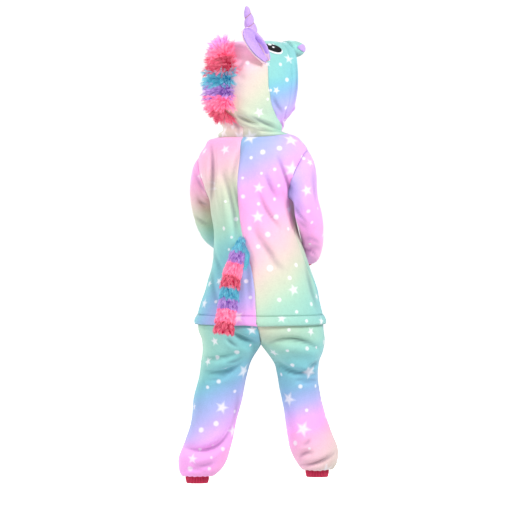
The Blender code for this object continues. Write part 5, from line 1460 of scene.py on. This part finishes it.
def hood_place(side, u0, v0, long, short, tilt, lift, thick):
    """Points of an oval lying on the hood, its long axis tilted from the way to the brim."""
    step = 1e-3
    along_u = (head_point(u0 + step, v0, side) - head_point(u0 - step, v0, side)) / (2 * step)
    along_v = (head_point(u0, v0 + step, side) - head_point(u0, v0 - step, side)) / (2 * step)
    scale_u, scale_v = np.linalg.norm(along_u), np.linalg.norm(along_v)
    c, s = math.cos(math.radians(tilt)), math.sin(math.radians(tilt))

    def place(share, angle, top):
        p, q = long * share * math.cos(angle), short * share * math.sin(angle) * side
        u, v = u0 + (p * c - q * s) / scale_u, v0 + (p * s + q * c) / scale_v
        du = head_point(u + step, v, side) - head_point(u - step, v, side)
        dv = head_point(u, v + step, side) - head_point(u, v - step, side)
        normal = unit(np.cross(du, dv)) * -side
        dome = thick * (1 - 0.45 * share**6) * top
        return in_head_frame(head_point(u, v, side) + normal * (lift + dome))

    return place


SPARKLES = (                      # name, place along and above, half length and half width
    ("large", -0.022, 0.044, 0.0052, 0.0044),
    ("low", -0.002, 0.008, 0.0034, 0.0030),
    ("small", 0.016, 0.052, 0.0026, 0.0024),
)


def sew_eye(side, word):
    v = EYE["v"] - EYE_DROP[side]
    white = hood_place(side, EYE["u"], v, EYE["long"], EYE["short"], EYE["tilt"], 0.0009, 0.0012)
    put_on(f"eye_{word}_rim", pad_mesh("eye_rim", white, 10, 56), f"eye_{word}", EYE_WHITE)
    black = hood_place(side, EYE["u"], v + 0.006, EYE["long"] - 0.003, EYE["short"] - 0.003,
                       EYE["tilt"], 0.0022, 0.0014)
    put_on(f"pupil_{word}_satin", pad_mesh("pupil", black, 10, 56), f"pupil_{word}", EYE_BLACK)
    for name, beside, above, long, short in SPARKLES:
        spot = hood_place(side, EYE["u"] + beside, v + above, long, short, 0.0, 0.0034, 0.0007)
        put_on(f"sparkle_{name}_{word}", pad_mesh("sparkle", spot, 3, 24), f"pupil_{word}", EYE_WHITE)


for side, word in NAMES.items():
    sew_eye(side, word)


# ------------------------------ muzzle
# A stuffed plush roll on the brim over the forehead, in the hood front's blue, with two
# lilac velour nostrils sewn on.
MUZZLE = {"back": -0.0963, "deep": 0.0420, "wide": 0.046, "tall": 0.0220, "up": 0.0980, "power": 2.4}
MUZZLE_SPOKES, MUZZLE_ROWS = 72, 30
MUZZLE_PRINT = 0.25               # where on the hood front its cloth was cut, across
NOSTRIL = {"aside": 0.0345, "up": 0.002, "wide": 0.0110, "tall": 0.0090, "thick": 0.0014}


def muzzle_point(sideways, upward, lift):
    """A point of the muzzle's front, in the head frame, lifted off it."""
    p = MUZZLE["power"]
    a, b = sideways / MUZZLE["wide"], (upward - MUZZLE["up"]) / MUZZLE["tall"]
    f = max(1 - abs(a) ** p - abs(b) ** p, 0) ** (1 / p)
    slope = np.array([
        abs(a) ** (p - 1) * np.sign(a) / MUZZLE["wide"],
        -(f ** (p - 1)) / MUZZLE["deep"],
        abs(b) ** (p - 1) * np.sign(b) / MUZZLE["tall"],
    ])
    return np.array([sideways, MUZZLE["back"] - MUZZLE["deep"] * f, upward]) + unit(slope) * lift


def stuff_muzzle():
    p, spokes, rows = MUZZLE["power"], MUZZLE_SPOKES, MUZZLE_ROWS
    rings = []
    for r in range(-2, rows + 1):
        f = math.sin(math.pi / 2 * max(r, 0) / rows)
        q = max(1 - f**p, 0) ** (1 / p) * (1.0, 0.95, 0.05)[max(-r, 0)]
        f = f - 0.10 * (r < 0)
        ring = []
        for k in range(spokes):
            c, s = math.cos(2 * math.pi * k / spokes), math.sin(2 * math.pi * k / spokes)
            pucker = 1 - 0.05 * math.exp(-abs(f) / 0.08) * (1 + math.sin(13 * 2 * math.pi * k / spokes)) / 2
            ring.append([
                MUZZLE["wide"] * q * pucker * abs(c) ** (2 / p) * np.sign(c),
                MUZZLE["back"] - MUZZLE["deep"] * f,
                MUZZLE["up"] + MUZZLE["tall"] * q * pucker * abs(s) ** (2 / p) * np.sign(s),
            ])
        rings.append(ring)
    grid = np.array(rings)
    placed = in_head_frame(grid)
    mesh = grid_mesh("muzzle", placed, 1, True)
    outwards = unit(grid - np.array([0, MUZZLE["back"], MUZZLE["up"]])).reshape(-1, 3)
    outwards = turned(outwards, HEAD_TURN)
    flat = placed.reshape(-1, 3)
    lay_print(mesh, "hood_front_right", flat, outwards, np.full(len(flat), MUZZLE_PRINT))
    muzzle = put_on("muzzle_plush", mesh, "muzzle", RAINBOW_PLUSH)
    for side, word in NAMES.items():

        def place(share, angle, top, side=side):
            sideways = side * (NOSTRIL["aside"] + NOSTRIL["wide"] * share * math.cos(angle))
            upward = MUZZLE["up"] + NOSTRIL["up"] + NOSTRIL["tall"] * share * math.sin(angle)
            lift = 0.0006 + NOSTRIL["thick"] * (1 - 0.4 * share**6) * top
            return in_head_frame(muzzle_point(sideways, upward, lift))

        put_on(f"nostril_{word}_velour", pad_mesh("nostril", place, 6, 36), f"nostril_{word}", LILAC_VELOUR)


stuff_muzzle()


# ------------------------------ mane
# Long shaggy polyester pile in seven coloured stripes, sewn as a strip down the hood's
# back seam.  The strands clump together at their tips.  They are darker towards the root
# as painted shade, their locks are lit or left dark and paled at the tips as painted light,
# and they glow a little as painted light.
PILE = {                          # the colours of the strands' tips and of their roots, the roots darker as painted shade deep in the pile
    "lilac": ((238, 160, 218), (170, 96, 170)),
    "pink": ((255, 140, 180), (226, 70, 120)),
    "rose": ((226, 42, 102), (156, 8, 52)),
    "blue": ((16, 190, 204), (4, 104, 146)),
    "violet": ((184, 132, 212), (100, 54, 146)),
}
PILE_PAINTED_GLOW = 0.60                  # painted glow: the strands give off light in their own colour, standing in for the light that the shade between them takes away
# The near-white of the painted highlights on the lit strands.
PAINTED_TIP_HIGHLIGHT = srgb(255, 236, 246)


def shaggy_pile(name, tips, roots):
    made, tree, shader = new_finish(f"{name} shaggy pile", 0.62, 0.2)
    # Painted shade: the colour runs darker towards the roots, deep in the pile.
    height = maths(tree, "POWER", point_value(tree, "height"), 0.7)
    height = kept_within(tree, maths(tree, "ADD", centred(tree, speckle(tree, 260.0), 0.35), height))
    # Painted light and shade of the locks: some locks are lit and others left dark, and the lit ones are
    # paled towards near-white as painted highlight.
    shade = point_value(tree, "shade")
    lit = maths(tree, "MULTIPLY_ADD", shade, 0.85, 0.32)
    tint = blended(tree, maths(tree, "MULTIPLY", height, lit), srgb(*roots), srgb(*tips))
    pale = maths(tree, "MULTIPLY", shade, 0.20)
    fibre = blended(tree, pale, tint, PAINTED_TIP_HIGHLIGHT)
    link(tree, fibre, shader.inputs["Base Color"])
    # Painted light: the strands glow in their own colour, though they are no lamp.
    link(tree, fibre, shader.inputs["Emission Color"])
    shader.inputs["Emission Strength"].default_value = PILE_PAINTED_GLOW
    soft_nap(tree, shader, 900.0, 300.0, 0.0003)
    return made


PILES = {name: shaggy_pile(name, *colours) for name, colours in PILE.items()}
PILES |= {"candy": PILES["pink"], "crimson": PILES["rose"], "sky": PILES["blue"], "plum": PILES["violet"]}


def strands_mesh(name, roots, middles, tips, radius, shades, backing=None, steps=3):
    """Bent three-sided strands from root to tip, each tapering, over a backing."""
    sides = 3
    count = len(roots)
    way = unit(tips - roots)
    aside = unit(np.cross(way, np.array([0.31, 0.83, 0.47])))
    other = np.cross(way, aside)
    rings = []
    for k in range(steps + 1):
        t = k / steps
        centre = bent(roots, middles, tips, t)
        thick = radius * (1 - 0.80 * t**1.5)
        for s in range(sides):
            angle = 2 * math.pi * s / sides
            rings.append(centre + thick * (math.cos(angle) * aside + math.sin(angle) * other))
    points = np.stack(rings, axis=1).reshape(-1, 3)
    height = np.tile(np.repeat(np.arange(steps + 1) / steps, sides), count)
    each = (steps + 1) * sides
    firsts = np.arange(count)[:, None] * each
    quads = np.array(grid_squares(steps + 1, sides, True)) + firsts[..., None]
    caps = np.arange(steps * sides, each) + firsts
    faces = quads.reshape(-1, 4).tolist() + caps.tolist()
    shade = np.repeat(shades, each)
    if backing is not None:
        extra, extra_faces = backing
        faces += [[len(points) + c for c in face] for face in extra_faces]
        # The backing takes the darkest root colour, as painted shade between the strands.
        height = np.concatenate([height, np.zeros(len(extra))])
        shade = np.concatenate([shade, np.zeros(len(extra))])
        points = np.vstack([points, extra])
    mesh = smooth_mesh(name, points, faces)
    keep_on(mesh, "height", height)
    keep_on(mesh, "shade", shade)
    return mesh


def sampled(grid, rows, columns):
    """Points of a grid between its rows and columns."""
    r = np.clip(rows.astype(int), 0, len(grid) - 2)
    c = np.clip(columns.astype(int), 0, grid.shape[1] - 2)
    p, q = (rows - r)[:, None], (columns - c)[:, None]
    top = grid[r, c] * (1 - q) + grid[r, c + 1] * q
    return top * (1 - p) + (grid[r + 1, c] * (1 - q) + grid[r + 1, c + 1] * q) * p


MANE = (                          # band, top, bottom, length, then reach, shift, fall and spread
    ("mane_lilac", 0.2262, 0.2165, 0.022, 2.6, 2.0, -0.10, 0.6),
    ("mane_pink", 0.2160, 0.1955, 0.023, 3, 2.3, 0.10, 0.9),
    ("mane_rose", 0.1950, 0.1600, 0.024, 3, 2.3, 0.20, 0.9),
    ("mane_blue", 0.1595, 0.1290, 0.023, 3, 2.2, 0.20, 0.9),
    ("mane_violet", 0.1285, 0.1015, 0.022, 3, 2.1, 0.20, 0.9),
    ("mane_candy", 0.1010, 0.0755, 0.022, 3, 1.9, 0.20, 0.8),
    ("mane_crimson", 0.0750, 0.0500, 0.020, 2, 1.1, 0.20, 0.7),
)
HOOD_SEAM_SHEETS = (("hood", 1), ("hood", -1))
MANE_SHARE = 0.88                 # share of the strip that the roots take up, from its left edge
MANE_STRANDS = 2600
MANE_STRAND = 0.00034             # a strand's radius
MANE_ROUND = 0.042                # how far from a stripe's middle its strands lie over
STRIP_ROWS, STRIP_COLUMNS = 9, 17


def over_the_seam(seam, rows, columns, lift):
    """Points lifted off the two sheets that a seam joins, and their normals.  Columns
    below 0 are on the wearer's right."""
    found, outward = np.zeros((2, len(rows), 3))
    for sheet, here in zip(seam, (columns >= 0, columns < 0)):
        found[here] = sampled(sheets[sheet][0], rows[here], abs(columns[here]))
        outward[here] = unit(sampled(normals[sheet], rows[here], abs(columns[here])))
    return found + outward * np.reshape(lift, (-1, 1)), outward


def sew_mane():
    heights = sheets["hood", 1][0][:, 0, 2]
    numbers = np.arange(len(heights))
    for i, (name, top_z, bottom_z, length, wide, shift, fall, spread) in enumerate(MANE):
        chance = np.random.default_rng(40 + i)
        top, bottom = np.interp([top_z, bottom_z], heights, numbers)
        reach = wide * FINE
        aside = shift * FINE                     # to the wearer's right
        down, over = np.meshgrid(
            np.linspace(top, bottom, STRIP_ROWS), np.linspace(-reach, reach, STRIP_COLUMNS), indexing="ij")
        over = over * MANE_SHARE * 0.88 - aside + (1 - MANE_SHARE) * reach
        backing, _ = over_the_seam(HOOD_SEAM_SHEETS, down.ravel(), over.ravel(), 0.0034)
        squares = grid_squares(STRIP_ROWS, STRIP_COLUMNS)
        count = int(MANE_STRANDS * (0.5 + 0.5 * (top - bottom) * reach / (4.2 * FINE * 3 * FINE)))
        rows = bottom + (top - bottom) * chance.random(count)
        columns = reach * (2 * MANE_SHARE * chance.random(count) + 1 - 2 * MANE_SHARE) - aside
        roots, outward = over_the_seam(HOOD_SEAM_SHEETS, rows, columns, 0.003)
        middle = (1 - MANE_SHARE) * reach - aside
        halfway = np.array([(top + bottom) / 2])
        centre, _ = over_the_seam(HOOD_SEAM_SHEETS, halfway, np.array([middle]), 0.004)
        locks = max(12, count // 16)
        seeds = chance.choice(count, locks, replace=False)
        gaps = np.linalg.norm(roots[:, None] - roots[seeds][None], axis=2)
        own = seeds[gaps.argmin(axis=1)]
        away = (roots - centre) * np.array([1, 1, 1.3])
        round_to = np.linalg.norm(away, axis=1, keepdims=True) / MANE_ROUND
        lean = unit(away) * np.minimum(round_to, 1.3) * spread + np.array([0, 0, -fall])
        stray = chance.normal(0, 0.09, (count, 3))
        long = length * chance.uniform(0.70, 1.0, (count, 1))
        way = outward * (1.0 - 0.25 * round_to) + lean + stray
        drift = chance.normal(0, 0.17, (count, 3))[own]
        way = way + drift
        tips = roots + way * long * 0.92
        clumped = tips[own] + (roots - roots[own]) * 0.20
        tips = tips * 0.45 + clumped * 0.55
        middles = roots + outward * long * 0.22 + (tips - roots) * 0.40
        # Painted light and shade: each lock is lit or left dark as a whole, and each strand differs a
        # little.
        shades = chance.random(count)[own] * 0.7 + chance.random(count) * 0.3
        mesh = strands_mesh(name, roots, middles, tips, MANE_STRAND, shades, (backing, squares))
        put_on(f"{name}_pile", mesh, name, PILES[name.split("_")[1]])


sew_mane()


# ------------------------------ tail
# Eight stripes of the same shaggy pile on a stuffed core that hangs from the centre
# back seam.  Its strands twist together into short thick locks, with the same painted
# light and shade, and the core shows their dark root colour as painted shade between the locks.
TAIL = (                          # band, its middle at the top, half width and half depth
    ("tail_blue", (0.0385, 0.0975, -0.2555), 0.014, 0.008),
    ("tail_violet", (0.0465, 0.1031, -0.286), 0.0185, 0.0105),
    ("tail_candy", (0.054, 0.1095, -0.312), 0.0215, 0.0115),
    ("tail_rose", (0.062, 0.116, -0.3435), 0.023, 0.012),
    ("tail_sky", (0.067, 0.123, -0.373), 0.023, 0.012),
    ("tail_plum", (0.07, 0.13, -0.401), 0.023, 0.012),
    ("tail_pink", (0.074, 0.1375, -0.427), 0.0235, 0.012),
    ("tail_crimson", (0.0785, 0.1438, -0.4565), 0.0245, 0.012),
    ("end", (0.0825, 0.1465, -0.484), 0.0245, 0.012),
)
TAIL_STRANDS = 2400
TAIL_STRAND = 0.00036
LOCKS_ROUND, LOCKS_DOWN = 44, 5   # the twisted locks of one stripe
CORE_SPOKES, CORE_ROWS = 24, 6
SIDE_LOCK = np.array([(0.036, 0.103, -0.262), (0.015, 0.110, -0.293), (0.029, 0.117, -0.328)])
SIDE_LOCK_WIDE = 0.0022           # how far the strands of the loose first lock stand apart


def sew_tail():
    for i, (name, start, wide, deep) in enumerate(TAIL[:-1]):
        chance = np.random.default_rng(80 + i)
        start, end = np.array(start), np.array(TAIL[i + 1][1])
        heading = unit(end - start)
        behind = unit(np.array([0, 1.0, 0]) - heading * heading[1])
        aside = np.cross(behind, heading)

        def skin(share, angle, size):
            share, angle = np.asarray(share)[:, None], np.asarray(angle)[:, None]
            round_it = wide * np.cos(angle) * aside + deep * np.sin(angle) * behind
            size = size * (0.76 + 0.12 * share)
            if i == 0:
                size = size * (0.30 + 0.70 * soft_step(share / 0.75))
            return start + (end - start) * share + size * round_it, unit(round_it)

        spokes = np.arange(CORE_SPOKES) * 2 * math.pi / CORE_SPOKES
        turn, row = np.meshgrid(spokes, np.linspace(0, 1, CORE_ROWS))
        core, _ = skin(row.ravel(), turn.ravel(), 0.92)
        squares = grid_squares(CORE_ROWS, CORE_SPOKES, True)
        lock_angle, lock_share = (v.ravel() for v in np.meshgrid(
            np.arange(LOCKS_ROUND) * 2 * math.pi / LOCKS_ROUND, np.linspace(-0.10, 0.84, LOCKS_DOWN)))
        locks = len(lock_angle)
        lock_angle = lock_angle + chance.normal(0, 0.10, locks)
        lock_share = lock_share + chance.normal(0, 0.07, locks)
        turned_by = chance.normal(0, 0.09, locks)
        pick = chance.integers(0, locks, TAIL_STRANDS)
        spread = chance.normal(0, 0.07, TAIL_STRANDS)
        root_share = lock_share[pick] + chance.normal(0, 0.05, TAIL_STRANDS)
        roots, outward = skin(root_share, lock_angle[pick] + spread, 0.95)
        long = chance.uniform(0.34, 0.50, locks)[pick] * chance.uniform(0.8, 1.0, TAIL_STRANDS)
        landing = np.minimum(lock_share[pick] + long, chance.uniform(1.02, 1.26, locks)[pick])
        landing, landing_out = skin(landing, (lock_angle + turned_by)[pick] + spread * 0.45, 1.0)
        stand = chance.uniform(0.0010, 0.0064, locks)[pick][:, None]
        twist = chance.normal(0, 0.0006, (TAIL_STRANDS, 3))
        tips = landing + landing_out * stand * 0.8 + twist
        middles = (roots + tips) / 2 + outward * stand * 1.2 + twist
        # Painted light and shade: each lock is lit or left dark as a whole, and each strand differs a
        # little.
        shades = chance.random(locks)[pick] * 0.85 + chance.random(TAIL_STRANDS) * 0.15
        if i == 0:
            count = TAIL_STRANDS // 6
            around = chance.normal(0, 1, (count, 3)) * SIDE_LOCK_WIDE
            roots = np.vstack([roots, SIDE_LOCK[0] + around * 0.7])
            middles = np.vstack([middles, SIDE_LOCK[1] + around])
            ends = SIDE_LOCK[2] + around * 0.8 + heading * chance.uniform(-0.022, 0.004, (count, 1))
            tips = np.vstack([tips, ends])
            shades = np.concatenate([shades, chance.random(count)])
        mesh = strands_mesh(name, roots, middles, tips, TAIL_STRAND, shades, (core, squares), 2)
        put_on(f"{name}_pile", mesh, name, PILES[name.split("_")[1]])


sew_tail()


# ------------------------------ placket and buttons
# A narrow plush facing down the centre front, top-stitched along both edges, with five
# pearly four-hole buttons sewn through it.
BUTTON_HEIGHTS = (-0.045, -0.125, -0.205, -0.285, -0.365)
BUTTON_RADIUS = 0.0080
BUTTON_SPOKES = 40
BUTTON_HOLES = 0.0014             # from the middle of a button to its holes, each way
BUTTON_LIFT = 0.0037              # from the fronts to the underside of a button
PLACKET_END, PLACKET_COLUMNS = -0.43, 11
PLACKET_REACH = 0.72 * FINE       # from the middle to either edge, in columns
THREAD_APART, THREAD_RADIUS = 0.00025, 0.00028
PLACKET_PLUSH = plush_of_one_colour("pale lilac plush", (240, 214, 240), (222, 190, 230))
PEARL = two_tone("pearly plastic", (226, 214, 238), (248, 242, 252), 180, 2, 0.28)
PEARL.node_tree.nodes["Principled BSDF"].inputs["Specular IOR Level"].default_value = 0.5
THREAD = two_tone("white sewing thread", (222, 210, 228), (250, 244, 252), 2400, 1, 0.6)
front_left = sheets[1, -1][0]
FRONT_SEAM = ((1, -1), (-1, -1))


def sew_placket():
    last = int(np.argmin(np.abs(front_left[:, 0, 2] - PLACKET_END)))
    across = np.linspace(-PLACKET_REACH, PLACKET_REACH, PLACKET_COLUMNS)
    rows = np.arange(max(1, FINE // 4), last + 1)
    down, over = np.meshgrid(rows, across, indexing="ij")
    out = np.abs(over / over.max())
    edge = 0.0032 - 0.0008 * out**4 - 0.0005 * (np.abs(out - 0.72) < 0.06)
    points, outward = over_the_seam(FRONT_SEAM, down.ravel().astype(float), over.ravel(), edge.ravel())
    grid = points.reshape(len(rows), PLACKET_COLUMNS, 3)
    probe = np.cross(grid[0, -1] - grid[0, 0], grid[1, 5] - grid[0, 5])
    sign = 1 if np.dot(probe, outward[5]) > 0 else -1
    mesh = grid_mesh("placket", grid, sign, False)
    strip = put_on("placket_plush", mesh, "placket", PLACKET_PLUSH)
    thickened(strip, 0.0022)
    length, width = float(run(grid[:, 5])[-1]), float(run(grid[20])[-1])


BUTTON_PROFILE = (                # share of the radius, and height above the placket
    (0.00, 0.0020), (0.10, 0.0020), (0.20, 0.0020), (0.30, 0.0020), (0.42, 0.0021), (0.56, 0.0024),
    (0.70, 0.0030), (0.82, 0.0032), (0.92, 0.0030), (0.98, 0.0024), (1.00, 0.0014), (0.96, 0.0004),
    (0.86, 0.0000),
)


def sew_buttons():
    heights = front_left[:, 0, 2][::-1]
    numbers = np.arange(len(heights))[::-1]
    for i, z in enumerate(BUTTON_HEIGHTS):
        row = np.interp(z, heights, numbers)
        place = over_the_seam(FRONT_SEAM, np.array([row]), np.zeros(1), BUTTON_LIFT)
        middle, normal = (value[0] for value in place)
        aside = unit(np.cross(normal, [0, 0, 1.0]))
        upward = np.cross(aside, normal)
        rings = []
        for share, lift in BUTTON_PROFILE:
            ring = []
            for k in range(BUTTON_SPOKES):
                angle = 2 * math.pi * k / BUTTON_SPOKES
                a, b = (BUTTON_RADIUS * max(share, 0.01) * f(angle) for f in (math.cos, math.sin))
                hole = math.hypot(abs(a) - BUTTON_HOLES, abs(b) - BUTTON_HOLES)
                sunk = 0.0014 * (1 - soft_step((hole - 0.00045) / 0.0005))
                ring.append(middle + aside * a + upward * b + normal * (lift - float(sunk)))
            rings.append(ring)
        grid = np.array(rings)
        mesh = grid_mesh("button", grid, -1, True)
        put_on(f"button_{i + 1}_pearl", mesh, f"button_{i + 1}", PEARL)
        sideways = [aside * (p * BUTTON_HOLES + q * THREAD_APART) for p in (1, -1) for q in (-1, 1)]
        between = middle + np.array(sideways) + normal * 0.0016
        ends = [between + upward * p * BUTTON_HOLES for p in (1, -1)]
        bends = between + normal * 0.0018
        thread = strands_mesh("button_thread", ends[0], bends, ends[1], THREAD_RADIUS, np.zeros(4))
        put_on(f"button_{i + 1}_thread", thread, f"button_{i + 1}", THREAD)


sew_placket()
sew_buttons()


# ------------------------------ top stitching
# Small stitches in a thread a little darker than the plush, along the top of the
# drop-seat band, sunk into the pile.
STITCH = two_tone("stitching thread", (196, 150, 190), (226, 184, 216), 2400, 1, 0.7)
STITCH_LONG, STITCH_GAP, STITCH_LIFT = 0.0026, 0.0016, 0.0002
STITCH_SUNK, STITCH_BOW, STITCH_RADIUS = 0.0004, 0.0008, 0.00030
BAND_FACE = 0.0016                # from the seat's form to the outside of the band


def stitch_row(name, node, points, outward):
    """Short stitches along a line of points on the cloth."""
    stations = run(points)
    count = int(stations[-1] / (STITCH_LONG + STITCH_GAP))
    starts = (np.arange(count) + 0.2) * stations[-1] / count

    def on_line(where, up):
        return read_at(where, stations, points) + read_at(where, stations, outward) * up

    roots, tips = (on_line(starts + x, STITCH_LIFT - STITCH_SUNK) for x in (0, STITCH_LONG))
    middles = on_line(starts + STITCH_LONG / 2, STITCH_LIFT + STITCH_BOW)
    mesh = strands_mesh(name, roots, middles, tips, STITCH_RADIUS, np.zeros(count))
    put_on(name, mesh, node, STITCH, for_solid=False)


for side, word in NAMES.items():
    grid, normal = sheets[side, 1][0], normals[side, 1]
    row = rows_between(BAND_TOP, HEM_ROW)[max(1, FINE // 4)]
    lift = FLARE * soft_step((positions[row] - FLARE_FROM) / (HEM_ROW - FLARE_FROM)) + BAND_FACE
    stitch_row(f"band_stitches_{word}", f"band_{word}", grid[row] + normal[row] * lift, normal[row])
